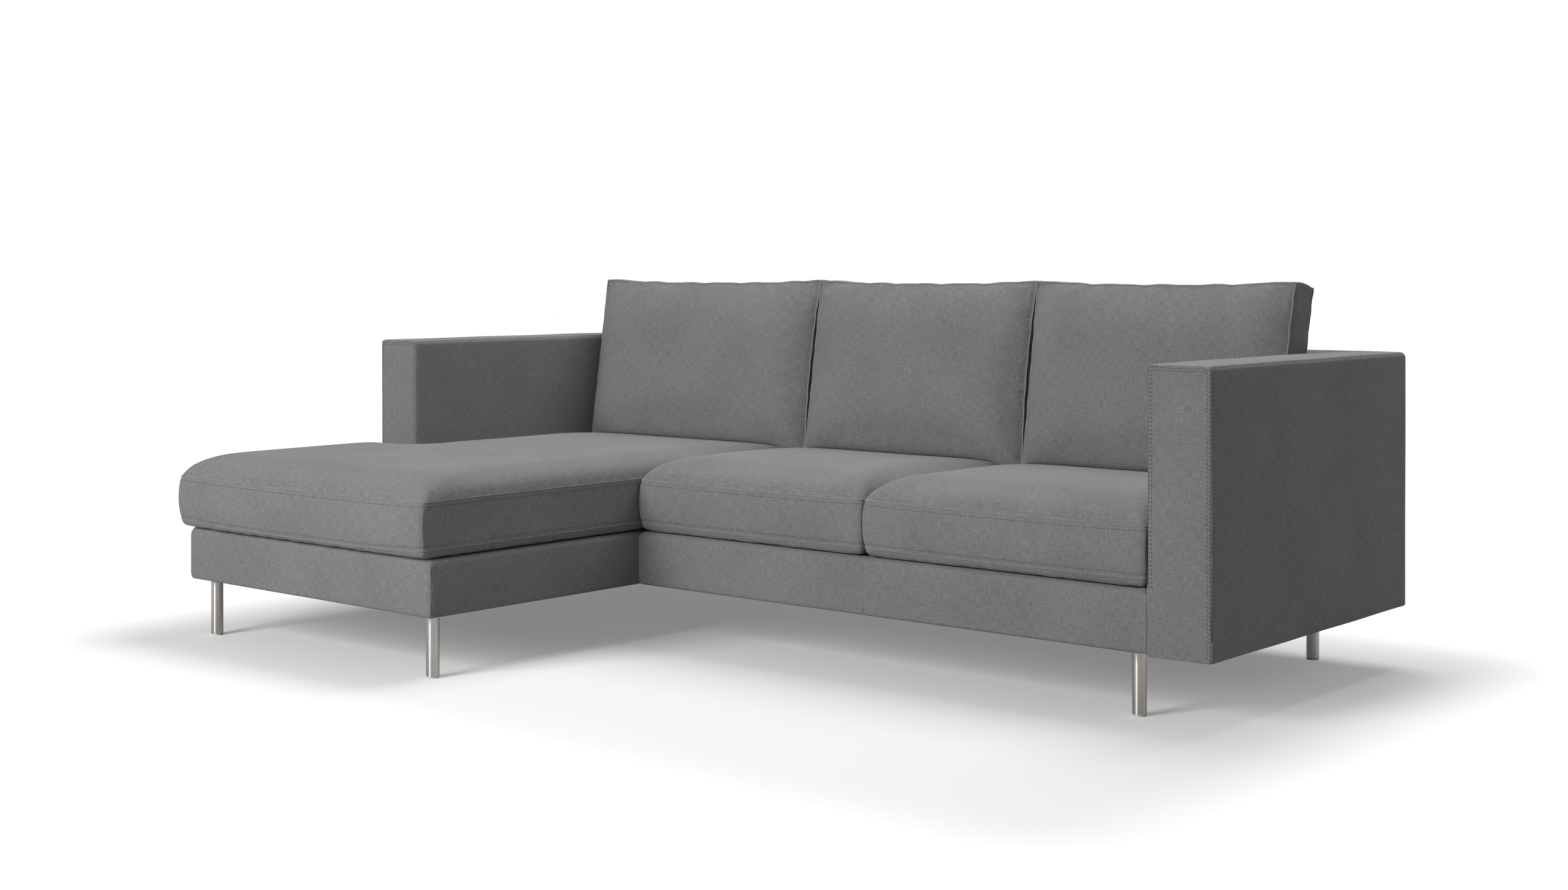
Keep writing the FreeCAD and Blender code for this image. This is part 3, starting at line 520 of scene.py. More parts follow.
def plain_sheet(name, low, high, step, shift, thick, material):
    """Flat cloth over a rectangle, moved up or down by shift(x, y), with a lower skin thick under
    it and a closed rim."""
    x, y = (spaced((low[i], high[i]), (step,)) for i in (0, 1))
    gx, gy = np.meshgrid(x, y, indexing="ij")
    top = np.stack([gx, gy, high[2] + shift(gx, gy)], -1)
    both = np.stack([top, top - (0, 0, thick)])
    rows, columns = gx.shape
    quads, at = grid_quads(rows, columns, False, False)
    count = rows * columns
    rim = np.concatenate([np.arange(rows) * columns, (rows - 1) * columns + np.arange(1, columns),
                          (rows - 2 - np.arange(rows - 1)) * columns + columns - 1,
                          columns - 2 - np.arange(columns - 2)])
    wall = np.stack([rim, rim + count, np.roll(rim, -1) + count, np.roll(rim, -1)], -1)
    quads = np.concatenate([quads, quads[:, ::-1] + count, wall])
    points = both.reshape(-1, 3)
    return mesh_piece(name, points, quads, points[quads][..., :2], material, "sofa_frame")


# Spun-bonded polypropylene: thin, near black, with a pressed grid of small points.
lining = woven_cloth("black_spunbonded_lining", "#141415", "#262728", 1.8, 5.0, 0.05, 0.0)
for module in ("chaise", "main"):
    low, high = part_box(module + "_dust_cover")
    slack = lambda x, y: (0.0006 * np.sin(31 * x) * np.sin(27 * y) - 0.0008)
    sheet = plain_sheet(module + "_dust_sheet", low, high, 0.03, slack, 0.0004, lining)
    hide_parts(module + "_dust_cover")


# Deck pads: grey needled felt laid on the webbing and quilted in squares, level with the lips.

# Needled felt: matt, fibrous, flecked light and dark.
felt = woven_cloth("grey_needled_felt", "#55565a", "#7d7e81", 2.6, 6.0, 0.2, 0.15)
for module in ("chaise", "main"):
    low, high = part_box(module + "_deck_pad")
    quilt = lambda x, y: (-0.0016 * np.exp(-(np.sin(np.pi * x / 0.12) / 0.09) ** 2)
                          - 0.0016 * np.exp(-(np.sin(np.pi * y / 0.12) / 0.09) ** 2))
    pad = plain_sheet(module + "_deck_felt", low, high, 0.006, quilt, 0.0025, felt)
    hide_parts(module + "_deck_pad")


# Arms: slab frames in a sewn cover. A flat front panel is set in with a crisp edge, behind which
# the sides swell out; the top is a panel of its own, and the back corners are simply rounded.

def shell(x, y, z, cells=None):
    """Outside of a block cut at lattice lines x, y and z, or of the plan cells of it that are
    filled. Gives each point's lattice place and its flat position, the quads, and the side that
    each quad is on: 0 and 1 across x, 2 and 3 across y, 4 under and 5 over."""
    if cells is None:
        cells = np.ones((len(x) - 1, len(y) - 1), bool)
    rows, columns, layers = *cells.shape, len(z) - 1
    room = np.pad(cells, 1)
    k = np.arange(layers)
    found, sides = [], []
    walls = [((-1, 0), [(0, 1, 0), (0, 0, 0), (0, 0, 1), (0, 1, 1)]),
             ((1, 0), [(1, 0, 0), (1, 1, 0), (1, 1, 1), (1, 0, 1)]),
             ((0, -1), [(0, 0, 0), (1, 0, 0), (1, 0, 1), (0, 0, 1)]),
             ((0, 1), [(1, 1, 0), (0, 1, 0), (0, 1, 1), (1, 1, 1)])]
    for side, ((dx, dy), corners) in enumerate(walls):
        open_side = cells & ~room[1 + dx:1 + dx + rows, 1 + dy:1 + dy + columns]
        i, j = np.nonzero(open_side)
        base = np.stack([np.repeat(i, layers), np.repeat(j, layers), np.tile(k, len(i))], -1)
        found.append(base[:, None] + np.array(corners))
        sides.append(np.full(len(base), side))
    i, j = np.nonzero(cells)
    for side, level, corners in ((4, 0, [(0, 1, 0), (1, 1, 0), (1, 0, 0), (0, 0, 0)]),
                                 (5, layers, [(0, 0, 0), (1, 0, 0), (1, 1, 0), (0, 1, 0)])):
        base = np.stack([i, j, np.full(len(i), level)], -1)
        found.append(base[:, None] + np.array(corners))
        sides.append(np.full(len(base), side))
    found, sides = np.concatenate(found), np.concatenate(sides)
    key = (found[..., 0] * (columns + 1) + found[..., 1]) * (layers + 1) + found[..., 2]
    names, quads = np.unique(key.ravel(), return_inverse=True)
    lattice = np.stack([names // (layers + 1) // (columns + 1), names // (layers + 1) % (columns + 1),
                        names % (layers + 1)], -1)
    flat = np.stack([x[lattice[:, 0]], y[lattice[:, 1]], z[lattice[:, 2]]], -1)
    return lattice, flat, quads.reshape(-1, 4), sides


def panel_uv(flat, quads, sides):
    """Place on the cloth of each quad's corners: the two flat coordinates that run along its side."""
    pairs = np.array([(1, 2), (1, 2), (0, 2), (0, 2), (0, 1), (0, 1)])[sides]
    corners = flat[quads]
    return np.take_along_axis(corners, np.broadcast_to(pairs[:, None], (*quads.shape, 2)), 2)


def point_normals(points, quads):
    """Outward direction at each point: the sum of the cross products of its quads' diagonals."""
    a, b, c, d = (points[quads[:, i]] for i in range(4))
    square = np.cross(c - a, d - b)
    total = np.zeros_like(points)
    for i in range(4):
        np.add.at(total, quads[:, i], square)
    return total / (np.linalg.norm(total, axis=1)[:, None] + 1e-12)


def eased(flat, low, high, low_round, high_round):
    """Round a block's edges. A point's offset from the inner block, counted in roundings, keeps
    its largest part as its length, so that flat faces stay and edges turn into quarter ellipses."""
    core = np.clip(flat, low + low_round, high - high_round)
    size = np.where(flat < core, low_round, high_round)
    offset = (flat - core) / size
    length = np.linalg.norm(offset, axis=1)
    share = np.abs(offset).max(axis=1) / np.maximum(length, 1e-9)
    return core + offset * share[:, None] * size


def swell(value, low, high, power=4):
    """1 in the middle of a range and 0 at its ends, by 1 - |s| ** power."""
    return 1 - np.abs(np.clip((2 * value - low - high) / (high - low), -1, 1)) ** power


def stitches(name, path, out, body, long_mm=5.5, gap_mm=3.0, thick_mm=1.1):
    """Row of machine stitches. The path is cut into equal steps; in each lies a short bead whose
    rings shrink towards both ends by the square root of 1 - s ** 2."""
    run = run_length(path)
    step = (long_mm + gap_mm) / 1000
    count = int(run[-1] / step)
    at = (np.arange(count) + 0.5) * step
    centre, before, beyond, up = (
        np.stack([np.interp(where, run, line[:, i]) for i in range(3)], -1)
        for where, line in ((at, path), (at - 0.002, path), (at + 0.002, path), (at, out)))
    ahead = beyond - before
    ahead /= np.linalg.norm(ahead, axis=1)[:, None]
    aside = np.cross(up, ahead)
    aside /= np.linalg.norm(aside, axis=1)[:, None]
    up = np.cross(ahead, aside)
    along = np.array([-1, -0.8, 0, 0.8, 1])
    size = np.sqrt(np.maximum(1 - along ** 2, 0.01))
    angle = np.linspace(0, 2 * np.pi, 5)[:-1]
    forward = np.repeat(along, 4) * long_mm / 2000
    bow = np.repeat(0.0002 * (1 - along ** 2), 4)
    high = (np.cos(angle) * size[:, None]).ravel() * thick_mm / 2000 * 0.7 + bow
    wide = (np.sin(angle) * size[:, None]).ravel() * thick_mm / 2000
    beads = (centre[:, None] + forward[:, None] * ahead[:, None] + high[:, None] * up[:, None]
             + wide[:, None] * aside[:, None])
    quads, at = grid_quads(5, 4, False, True)
    one = np.concatenate([quads, [(0, 1, 2, 3), (19, 18, 17, 16)]])
    all_quads = (one[None] + 20 * np.arange(count)[:, None, None]).reshape(-1, 4)
    points = beads.reshape(-1, 3)
    uv = np.zeros((*all_quads.shape, 2)) + np.array([(0, 0), (0.002, 0), (0.002, 0.002), (0, 0.002)])
    # The stitches take the darker thread, which carries painted shade along the stitch line.
    return mesh_piece(name, points, all_quads, uv, thread, body)


# Spun polyester thread with a slight lustre, a shade darker than the cloth: partly the thread's own tone,
# partly painted shade of the sunk stitch line.
thread = woven_cloth("grey_polyester_thread", "#3c3d3f", "#515254", 0.6, 1.0, 0.05, 0.1)


def slab_arm(name, low, high, inner, outer):
    """Cover of one arm. Flat block, eased edges, then drawn in towards the front panel's seam by
    depth * (1 - sqrt(1 - (1 - d / width) ** 2)), d being the distance behind the front. Where the
    right arm runs into the front rail its edge stays flush, and has no seam."""
    edge_round, end_round, foot_round, draw_in = 0.012, 0.018, 0.006, 0.0018
    low, high = np.array(low), np.array(high)
    x = spaced((low[0], low[0] + edge_round, high[0] - edge_round, high[0]), (0.002, 0.012, 0.002))
    y = np.concatenate([low[1] + end_round * (1 - np.cos(np.linspace(0, np.pi / 2, 9)))[:-1],
                        spaced((low[1] + end_round, high[1] - end_round, high[1]), (0.016, 0.003))])
    z = spaced((low[2], low[2] + foot_round, high[2] - edge_round, high[2]), (0.003, 0.016, 0.002))
    lattice, flat, quads, sides = shell(x, y, z)
    points = eased(flat, low, high, np.array([0.008, 1e-6, foot_round]),
                   np.array([edge_round, end_round, edge_round]))
    behind = np.clip(1 - (flat[:, 1] - low[1]) / end_round, 0, 1)
    drawn = draw_in * (1 - np.sqrt(1 - behind ** 2))
    middle = (low + high) / 2
    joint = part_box("main_base_cover")[1].z if low[0] > 0 else low[2]
    tight = (flat[:, 0] < middle[0]) & (flat[:, 2] < joint)
    drawn = np.where(tight, 0, drawn)
    for axis in (0, 2):
        half = (high[axis] - low[axis]) / 2
        points[:, axis] = middle[axis] + (points[:, axis] - middle[axis]) * (1 - drawn / half)
    facing = point_normals(points, quads)
    body = swell(flat[:, 1], low[1], high[1]) * swell(flat[:, 2], low[2], high[2])
    full = np.where(flat[:, 0] < middle[0], inner, outer) * body
    front = 0.002 * swell(flat[:, 0], low[0], high[0], 2) * swell(flat[:, 2], low[2], high[2])
    top = 0.002 * swell(flat[:, 0], low[0], high[0], 2) * swell(flat[:, 1], low[1], high[1])
    puff = np.abs(facing[:, 0]) * full + np.abs(facing[:, 1]) * front + np.abs(facing[:, 2]) * top
    edge = np.minimum.reduce([
        np.hypot(high[2] - flat[:, 2], np.minimum(flat[:, 0] - low[0], high[0] - flat[:, 0])),
        np.hypot(flat[:, 1] - low[1], np.minimum(flat[:, 0] - low[0], high[0] - flat[:, 0])),
        np.hypot(flat[:, 1] - low[1], high[2] - flat[:, 2])])
    puff = puff - ~tight * 0.0014 * np.exp(-(edge / 0.0028) ** 2) + ripple(points, 0.0007)
    points = points + facing * puff[:, None]
    cover = mesh_piece(name + "_upholstery", points, quads, panel_uv(flat, quads, sides), grey_canvas,
                       "sofa_frame")
    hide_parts(name + "_cover")

    last = lattice.max(axis=0)
    order = {tuple(place): i for i, place in enumerate(lattice.tolist())}
    up_left = [order[0, 0, k] for k in range(last[2]) if z[k] > joint - 1e-6]
    over = [order[i, 0, last[2]] for i in range(last[0] + 1)]
    down_right = [order[last[0], 0, k] for k in range(last[2] - 1, -1, -1)]
    border = np.array(up_left + over + down_right)
    outward = facing[border] + (0, -0.5, 0)
    seam_cord(name + "_front_seam", points[border], outward, 0.0012, "sofa_frame")
    for side, i in (("inner", 0), ("outer", last[0])):
        line = np.array([order[i, j, last[2]] for j in range(last[1] + 1)])
        seam_cord(f"{name}_top_seam_{side}", points[line], facing[line], 0.0011, "sofa_frame")
    for label, inset in (("edge", 0.004), ("inner", 0.010)):
        left, right, top = low[0] + draw_in + inset, high[0] - draw_in - inset, high[2] - draw_in - inset
        corners = np.array([(left, joint + 0.004), (left, top), (right, top), (right, low[2] + 0.004)])
        run = run_length(corners)
        at = spaced((0, run[-1]), (0.004,))
        row = np.stack([np.interp(at, run, corners[:, 0]), np.full(len(at), low[1]),
                        np.interp(at, run, corners[:, 1])], -1)
        sunk = 0.002 * swell(row[:, 0], low[0], high[0], 2) * swell(row[:, 2], low[2], high[2])
        row[:, 1] -= sunk + ripple(row, 0.0007) + 0.0001
        stitches(f"{name}_front_stitching_{label}", row, np.tile((0.0, -1.0, 0.0), (len(row), 1)),
                 "sofa_frame")


slab_arm("left_arm", *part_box("left_arm_cover"), 0.0025, 0.0008)
slab_arm("right_arm", *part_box("right_arm_cover"), 0.0008, 0.0025)


# Fixed backs: padded frames between the arms, covered in the same cloth. The front leans back,
# and the loose cushions hide it; the plain outside back closes it behind.

for name in ("chaise_back", "main_back"):
    low, high = (np.array(corner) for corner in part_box(name + "_cover"))
    top_depth, wide_round, foot_round = 0.182, 0.018, 0.004
    x = spaced((low[0], low[0] + 0.004, high[0] - 0.004, high[0]), (0.002, 0.018, 0.002))
    y = spaced((low[1], low[1] + wide_round, high[1] - wide_round, high[1]), (0.003, 0.018, 0.003))
    z = spaced((low[2], low[2] + foot_round, high[2] - wide_round, high[2]), (0.002, 0.018, 0.003))
    lattice, flat, quads, sides = shell(x, y, z)
    points = eased(flat, low, high, np.array([0.0006, wide_round, 0.003]),
                   np.array([0.0006, 0.011, wide_round]))
    share = (high[1] - points[:, 1]) / (high[1] - low[1])
    rise = (points[:, 2] - low[2]) / (high[2] - low[2])
    deep = (high[1] - low[1]) * (1 - rise) + top_depth * rise
    points[:, 1] = high[1] - share * deep
    facing = point_normals(points, quads)
    puff = 0.003 * swell(flat[:, 0], low[0], high[0], 8) * swell(flat[:, 2], low[2], high[2])
    puff = puff * (facing[:, 1] > 0.5) + ripple(points, 0.0008)
    points = points + facing * puff[:, None]
    cover = mesh_piece(name + "_upholstery", points, quads, panel_uv(flat, quads, sides), grey_canvas,
                       "sofa_frame")
    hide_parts(name + "_cover")


# Seat cushions: foam blocks in boxed covers. A top and a bottom panel are sewn to a boxing strip,
# topstitched beside both seams; the top swells into a crown with steep shoulders, and the
# underside rests flat on the deck.

seat_seam_low, seat_seam_high = 0.296, 0.400
seat_corner = 0.016
edge_lines = np.array([0, 0.0035, 0.008, 0.015, 0.025, 0.038])


def from_edges(low, high, middle_step, split=()):
    """Lattice lines across a panel: close together near its edges and near each split."""
    stops = [low, *split, high]
    parts = []
    for a, b in zip(stops[:-1], stops[1:]):
        inside = spaced((a + edge_lines[-1], b - edge_lines[-1]), (middle_step,))
        parts += [a + edge_lines[:-1], inside, b - edge_lines[-2:0:-1]]
    return np.append(np.concatenate(parts), high)


def shoulder(distance, width=0.19, power=4.5, root=0.48):
    """Height of a filled panel from 0 at its seam to 1, by (1 - (1 - d / w) ** power) ** root."""
    return (1 - (1 - np.clip(distance / width, 0, 1)) ** power) ** root


def seam_groove(distance, depth=0.0014):
    """Depth to which the cloth is drawn in beside a seam, depth * exp(-((d - 3.5 mm) / 3 mm) ** 2),
    with a fold lifted by 0.7 of it on the seam itself."""
    return depth * (np.exp(-((distance - 0.0035) / 0.003) ** 2) - 0.7 * (distance < 1e-6))


def round_corners(x, y, corners, radius):
    """Turn square plan corners into arcs. In a corner's square, the offset from the arc's centre
    keeps its larger part as its length."""
    x, y = x.copy(), y.copy()
    for cx, cy, sx, sy in corners:
        dx, dy = sx * (x - cx) + radius, sy * (y - cy) + radius
        inside = (dx > 0) & (dy > 0) & (dx < radius * 1.0001) & (dy < radius * 1.0001)
        share = np.where(inside, np.maximum(dx, dy) / np.maximum(np.hypot(dx, dy), 1e-9), 1.0)
        x = np.where(inside, cx + sx * (dx * share - radius), x)
        y = np.where(inside, cy + sy * (dy * share - radius), y)
    return x, y


class Cushion:
    """What is known of a cushion while it is made: its lattice, flat and filled points, quads,
    sides, cloth places and which points the sewing holds."""


def seat_cushion(name, front_sag, notch=None):
    """Filled shape of a seat cushion before its cloth is simulated. The top rises by the product
    of the shoulders from its edges, the underside drops by sqrt(1 - (1 - d / 26 mm) ** 2), and the
    front seams sag between their corners."""
    low, high = (np.array(corner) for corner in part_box(name + "_cover"))
    made = Cushion()
    x = from_edges(low[0], high[0], 0.019, () if notch is None else (notch[0],))
    y = from_edges(low[1], high[1], 0.019, () if notch is None else (notch[1],))
    inner = spaced((seat_seam_low + edge_lines[3], seat_seam_high - edge_lines[3]), (0.014,))
    z = np.concatenate([seat_seam_low + edge_lines[:3], inner, seat_seam_high - edge_lines[2::-1]])
    cells = np.ones((len(x) - 1, len(y) - 1), bool)
    corners = [(low[0], low[1], -1, -1), (high[0], low[1], 1, -1), (high[0], high[1], 1, 1)]
    if notch is None:
        corners.append((low[0], high[1], -1, 1))
    else:
        cells[np.ix_(x[:-1] < notch[0] - 1e-6, y[:-1] > notch[1] - 1e-6)] = False
        corners += [(notch[0], high[1], -1, 1), (low[0], notch[1], -1, 1)]
    made.lattice, flat, made.quads, sides = shell(x, y, z, cells)
    made.flat, made.low, made.high, made.x, made.y = flat, low, high, x, y
    made.top, made.bottom = made.lattice[:, 2] == len(z) - 1, made.lattice[:, 2] == 0
    fx, fy, fz = flat.T
    gaps = [fx - low[0], high[0] - fx, fy - low[1], high[1] - fy]
    if notch is not None:
        gaps.append(np.hypot(np.maximum(fx - notch[0], 0), np.maximum(notch[1] - fy, 0)))
    made.edge = np.minimum.reduce(gaps)
    crown = np.prod([shoulder(gap) for gap in gaps], axis=0)
    inwards = np.clip(made.edge / 0.026, 0, 1)
    rise = (fz - seat_seam_low) / (seat_seam_high - seat_seam_low)
    ahead = np.exp((low[1] - fy) / 0.12) * swell(fx, low[0], high[0], 4)
    fz = fz - ahead * (front_sag * (1 - rise) + 0.004 * rise)
    level = np.where(made.top, fz + (high[2] - seat_seam_high) * crown, fz)
    level = np.where(made.bottom, fz - (fz - low[2]) * np.sqrt(1 - (1 - inwards) ** 2), level)
    px, py = round_corners(fx, fy, corners, seat_corner)
    points = np.stack([px, py, level], -1)
    facing = point_normals(points, made.quads) * (1, 1, 0)
    wall = made.edge < 1e-6
    boxing = wall * (0.006 * swell(flat[:, 2], seat_seam_low, seat_seam_high, 2) - seam_groove(
        np.minimum(flat[:, 2] - seat_seam_low, seat_seam_high - flat[:, 2])))
    points = points + facing * boxing[:, None]
    points[:, 2] -= made.top * seam_groove(made.edge)
    made.points = points
    seam = wall & (made.top | made.bottom)
    made.held = np.where(seam | (made.bottom & (made.edge > 0.02)), 1.0, 0.0)
    made.cap = np.where(made.top, 0.0015 + 0.0035 * np.clip(made.edge / 0.10, 0, 1), 0.0015)
    made.name = name
    made.uv = panel_uv(flat, made.quads, sides)
    return made


chaise_notch = (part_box("left_arm_cover")[1].x + 0.0015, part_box("left_arm_cover")[0].y - 0.0015)
seats = [seat_cushion("chaise_seat_cushion", 0.011, chaise_notch),
         seat_cushion("middle_seat_cushion", 0.002), seat_cushion("right_seat_cushion", 0.002)]


# Back cushions: looser pillows of fibre in boxed covers, which stand on the seat cushions and
# lean on the fixed back. The front is full and low-bellied, the top edge sags between its
# corners, and a thin sewn ridge runs round the front and back panels.

lean = radians(8.8)
back_thick, back_tall = 0.090, 0.441
back_seam_y, back_seam_z = 0.4727, 0.4545
front_full, rear_full = 0.042, 0.012
top_sag, left_waist, right_waist = 0.010, 0.0035, 0.0085


def back_cushion(name):
    """Filled shape of a back cushion before its cloth is simulated. It is made upright from its
    width, thickness and height: both panels swell by the product of the shoulders from their
    edges, the top seam sags by 1 - |s| ** 3, the side seams draw in by 1 - t ** 2 and all seams
    pucker in two sine waves. Then it is leant."""
    low, high = (np.array(corner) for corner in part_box(name + "_cover"))
    made = Cushion()
    x = from_edges(low[0], high[0], 0.017)
    inner = spaced((edge_lines[3], back_thick - edge_lines[3]), (0.016,))
    w = np.concatenate([edge_lines[:3], inner, back_thick - edge_lines[2::-1]])
    u = from_edges(0, back_tall, 0.017)
    made.lattice, flat, made.quads, sides = shell(x, w, u)
    made.flat, made.low, made.high = flat, low, high
    fx, fw, fu = flat.T
    made.front, made.rear = made.lattice[:, 1] == 0, made.lattice[:, 1] == len(w) - 1
    side_gap = np.minimum(fx - low[0], high[0] - fx)
    end_gap = np.minimum(fu, back_tall - fu)
    made.edge = np.minimum(side_gap, end_gap)
    fill = (shoulder(fx - low[0], 0.12, 2.2, 0.62) * shoulder(high[0] - fx, 0.11, 2.2, 0.62)
            * shoulder(fu, 0.075, 2.2, 0.5) * shoulder(back_tall - fu, 0.16, 2.2, 0.7))
    belly = 1 + 0.12 * np.cos(np.pi * fu / back_tall)
    pw = (fw - made.front * (front_full * fill * belly - seam_groove(made.edge, 0.0028))
          + made.rear * rear_full * fill)
    middle = (2 * fx - low[0] - high[0]) / (high[0] - low[0])
    top_share = np.clip(fu / back_tall * 2 - 1, 0, 1)
    pu = fu - top_sag * top_share ** 3 * (1 - np.abs(middle) ** 3)
    waist = 1 - ((2 * fu - back_tall) / back_tall) ** 2
    px = fx - np.where(middle > 0, right_waist, -left_waist) * waist * np.abs(middle) ** 6
    gusset = np.minimum(fw, back_thick - fw)
    px += np.sign(middle) * (side_gap < 1e-6) * (0.003 * swell(fw, 0, back_thick, 2) - seam_groove(gusset))
    pu += np.sign(2 * fu - back_tall) * (end_gap < 1e-6) * (
        0.004 * swell(fw, 0, back_thick, 2) - seam_groove(gusset))
    wave = np.sin(fu * 95 + low[0] * 9) + 0.7 * np.sin(fu * 157 + low[0] * 23)
    px += 0.0009 * wave * np.abs(middle) ** 12
    wave = np.sin(fx * 48 + low[0] * 5) + 0.7 * np.sin(fx * 83 + 1)
    pu += 0.0010 * wave * top_share ** 3
    made.points = lean_back(np.stack([px, pw, pu], -1))
    seam = (made.edge < 1e-6) & (made.front | made.rear)
    made.held = np.where(seam | (made.rear & (made.edge > 0.04)), 1.0, 0.0)
    made.cap = np.where(made.front, 0.002 + 0.010 * np.clip(made.edge / 0.10, 0, 1), 0.003)
    made.name = name
    made.uv = panel_uv(flat, made.quads, sides)
    return made


def lean_back(points):
    """Turn upright cushion points by the lean about the x axis and put them on the seats."""
    x, w, u = points.T
    y = w * np.cos(lean) + u * np.sin(lean)
    z = u * np.cos(lean) - w * np.sin(lean)
    return np.stack([x, y + back_seam_y, z + back_seam_z], -1)


backs = [back_cushion(side + "_back_cushion") for side in ("left", "middle", "right")]


# Sewing and filling: the cloth of all six cushions is blown up from inside for twenty steps with
# its seams held, and no point may move further than its cap.

for made in seats + backs:
    made.object = mesh_piece(made.name, made.points, made.quads, made.uv, grey_canvas, made.name)
    made.moved = np.zeros_like(made.points)

for made in seats + backs:
    group = made.object.vertex_groups.new(name="held")
    group.add(np.nonzero(made.held)[0].tolist(), 1.0, "REPLACE")
    cloth = made.object.modifiers.new("filling", "CLOTH")
    cloth.point_cache.frame_start, cloth.point_cache.frame_end = 1, 20
    settings = cloth.settings
    settings.quality = 5
    settings.mass = 0.3
    settings.tension_stiffness = settings.compression_stiffness = 12
    settings.shear_stiffness = 4
    settings.bending_stiffness = 0.6
    settings.shrink_min = -0.015
    settings.use_pressure = True
    settings.uniform_pressure_force = 4
    settings.vertex_group_mass = "held"
    settings.effector_weights.gravity = 0
for step in range(1, 21):
    bpy.context.scene.frame_set(step)
seen = bpy.context.evaluated_depsgraph_get()
for made in seats + backs:
    after = np.empty(len(made.points) * 3, np.float32)
    made.object.evaluated_get(seen).data.vertices.foreach_get("co", after)
    moved = after.reshape(-1, 3) - made.points
    size = np.linalg.norm(moved, axis=1)
    made.moved = moved * (made.cap * np.tanh(size / made.cap) / np.maximum(size, 1e-9))[:, None]
    made.object.modifiers.clear()
bpy.context.scene.frame_set(1)


# Placing: the seats lie flat on the deck and against what stands beside them, and sink by up
# to 13 mm towards the back. The back cushions stand on them there, and their bottoms follow.

sink_depth, sink_start_y, sink_run = 0.013, 0.18, 0.27
bottom_drop, deepest_drop, bottom_share = 0.010, 0.040, 0.16

for made in seats:
    points = made.points + made.moved
    sunk = np.clip((made.flat[:, 1] - sink_start_y) / sink_run, 0, 1) ** 2
    points[:, 2] -= sink_depth * sunk * np.clip(made.edge / 0.08, 0, 1) * made.top
    points[:, 2] = np.maximum(points[:, 2], made.low[2])
    if made.name != "chaise_seat_cushion":
        points[:, 0] = np.maximum(points[:, 0], made.low[0])
    points[:, 0] = np.minimum(points[:, 0], made.high[0])
    made.points = points


def seat_top(x, y):
    """Height of the seats' tops at a plan place, from their lattices; the highest where two meet."""
    level = np.zeros_like(x)
    for made in seats:
        grid = np.zeros((len(made.x), len(made.y)))
        spots = made.lattice[made.top]
        grid[spots[:, 0], spots[:, 1]] = made.points[made.top, 2]
        i = np.clip(np.searchsorted(made.x, x) - 1, 0, len(made.x) - 2)
        j = np.clip(np.searchsorted(made.y, y) - 1, 0, len(made.y) - 2)
        s = np.clip((x - made.x[i]) / (made.x[i + 1] - made.x[i]), 0, 1)
        t = np.clip((y - made.y[j]) / (made.y[j + 1] - made.y[j]), 0, 1)
        value = ((grid[i, j] * (1 - s) + grid[i + 1, j] * s) * (1 - t)
                 + (grid[i, j + 1] * (1 - s) + grid[i + 1, j + 1] * s) * t)
        value = np.where((x >= made.low[0] - 0.002) & (x <= made.high[0] + 0.002), value, 0)
        level = np.maximum(level, value)
    return level


for made in backs:
    points = made.points + made.moved
    points[:, 0] = np.clip(points[:, 0], made.low[0], made.high[0])
    below = np.mean([seat_top(points[:, 0] + shift, np.full(len(points), back_seam_y - 0.02))
                     for shift in (-0.02, -0.01, 0, 0.01, 0.02)], axis=0)
    share = np.clip(1 - made.flat[:, 2] / bottom_share, 0, 1) ** 2
    points[:, 2] += np.clip(below - bottom_drop - back_seam_z, -deepest_drop, 0.0) * share
    points[:, 2] = np.maximum(points[:, 2], seat_top(points[:, 0], points[:, 1]) + 0.001)
    made.points = points


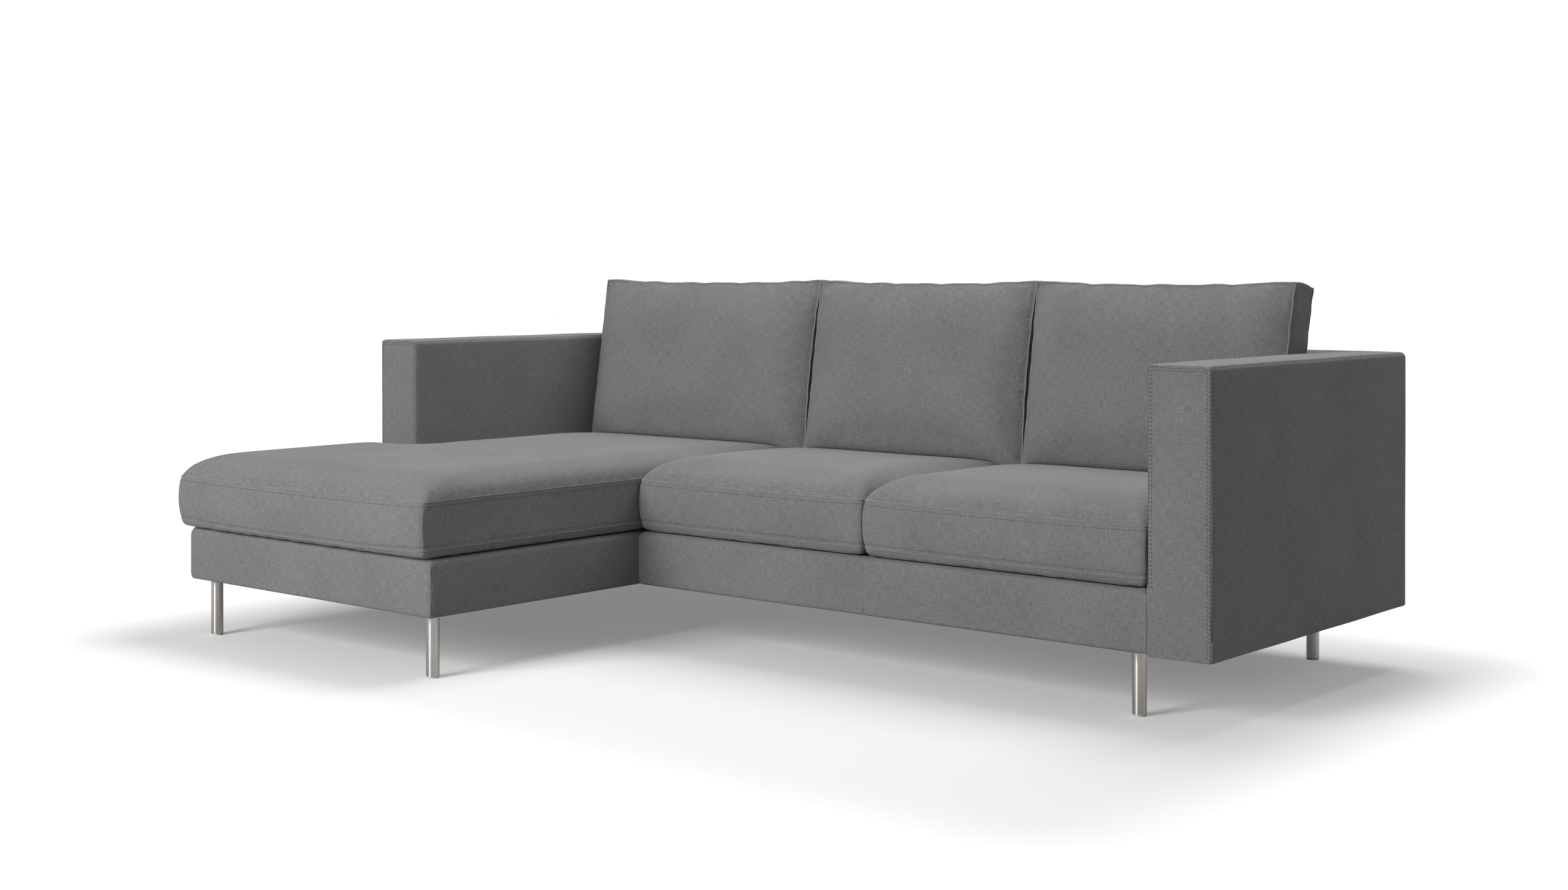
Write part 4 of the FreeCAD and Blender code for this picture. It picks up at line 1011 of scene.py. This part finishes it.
def finished(made):
    """Put the filled points on the cushion, divide its quads once and give back the surface and
    its normals as arrays."""
    mesh = made.object.data
    mesh.vertices.foreach_set("co", np.ascontiguousarray(made.points, np.float32).ravel())
    mesh.update()
    finer = made.object.modifiers.new("finer", "SUBSURF")
    finer.levels = finer.render_levels = 1
    seen = bpy.context.evaluated_depsgraph_get()
    new = bpy.data.meshes.new_from_object(made.object.evaluated_get(seen))
    made.object.modifiers.clear()
    made.object.data = new
    new.name = made.name
    new.shade_smooth()
    count = len(new.vertices)
    points, normals = np.empty(count * 3, np.float32), np.empty(count * 3, np.float32)
    new.vertices.foreach_get("co", points)
    new.vertices.foreach_get("normal", normals)
    return points.reshape(-1, 3).astype(float), normals.reshape(-1, 3).astype(float)


def ring(made, chosen, middle):
    """Numbers of the chosen lattice points, in order round a middle place."""
    found = np.nonzero(chosen)[0]
    a, b = middle
    angle = np.arctan2(made.flat[found, b[1]] - b[0], made.flat[found, a[1]] - a[0])
    return found[np.argsort(angle)]


for made in seats:
    points, normals = finished(made)
    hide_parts(made.name + "_cover", made.name + "_core")
    wall = made.edge < 1e-6
    layers = made.lattice[:, 2]
    centre = ((-0.70, 0), (-0.50, 1))
    if made.name != "chaise_seat_cushion":
        centre = (((made.low[0] + made.high[0]) / 2, 0), ((made.low[1] + made.high[1]) / 2, 1))
    for label, layer in (("low", 0), ("high", layers.max())):
        loop = ring(made, wall & (layers == layer), centre)
        seam_cord(f"{made.name}_{label}_seam", points[loop], normals[loop], 0.0012, made.name, True)
    for label, layer in (("low", 2), ("high", layers.max() - 2)):
        loop = ring(made, wall & (layers == layer), centre)
        loop = np.append(loop, loop[0])
        stitches(f"{made.name}_{label}_stitching", points[loop] + normals[loop] * 0.0002, normals[loop],
                 made.name)

for made in backs:
    points, normals = finished(made)
    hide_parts(made.name + "_cover", made.name + "_filling")
    centre = (((made.low[0] + made.high[0]) / 2, 0), (back_tall / 2, 2))
    for label, chosen in (("front", made.front), ("back", made.rear)):
        loop = ring(made, (made.edge < 1e-6) & chosen, centre)
        seam_cord(f"{made.name}_{label}_seam", points[loop], normals[loop], 0.0023, made.name, True)


# The bounds of the dressed sofa.

low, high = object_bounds()
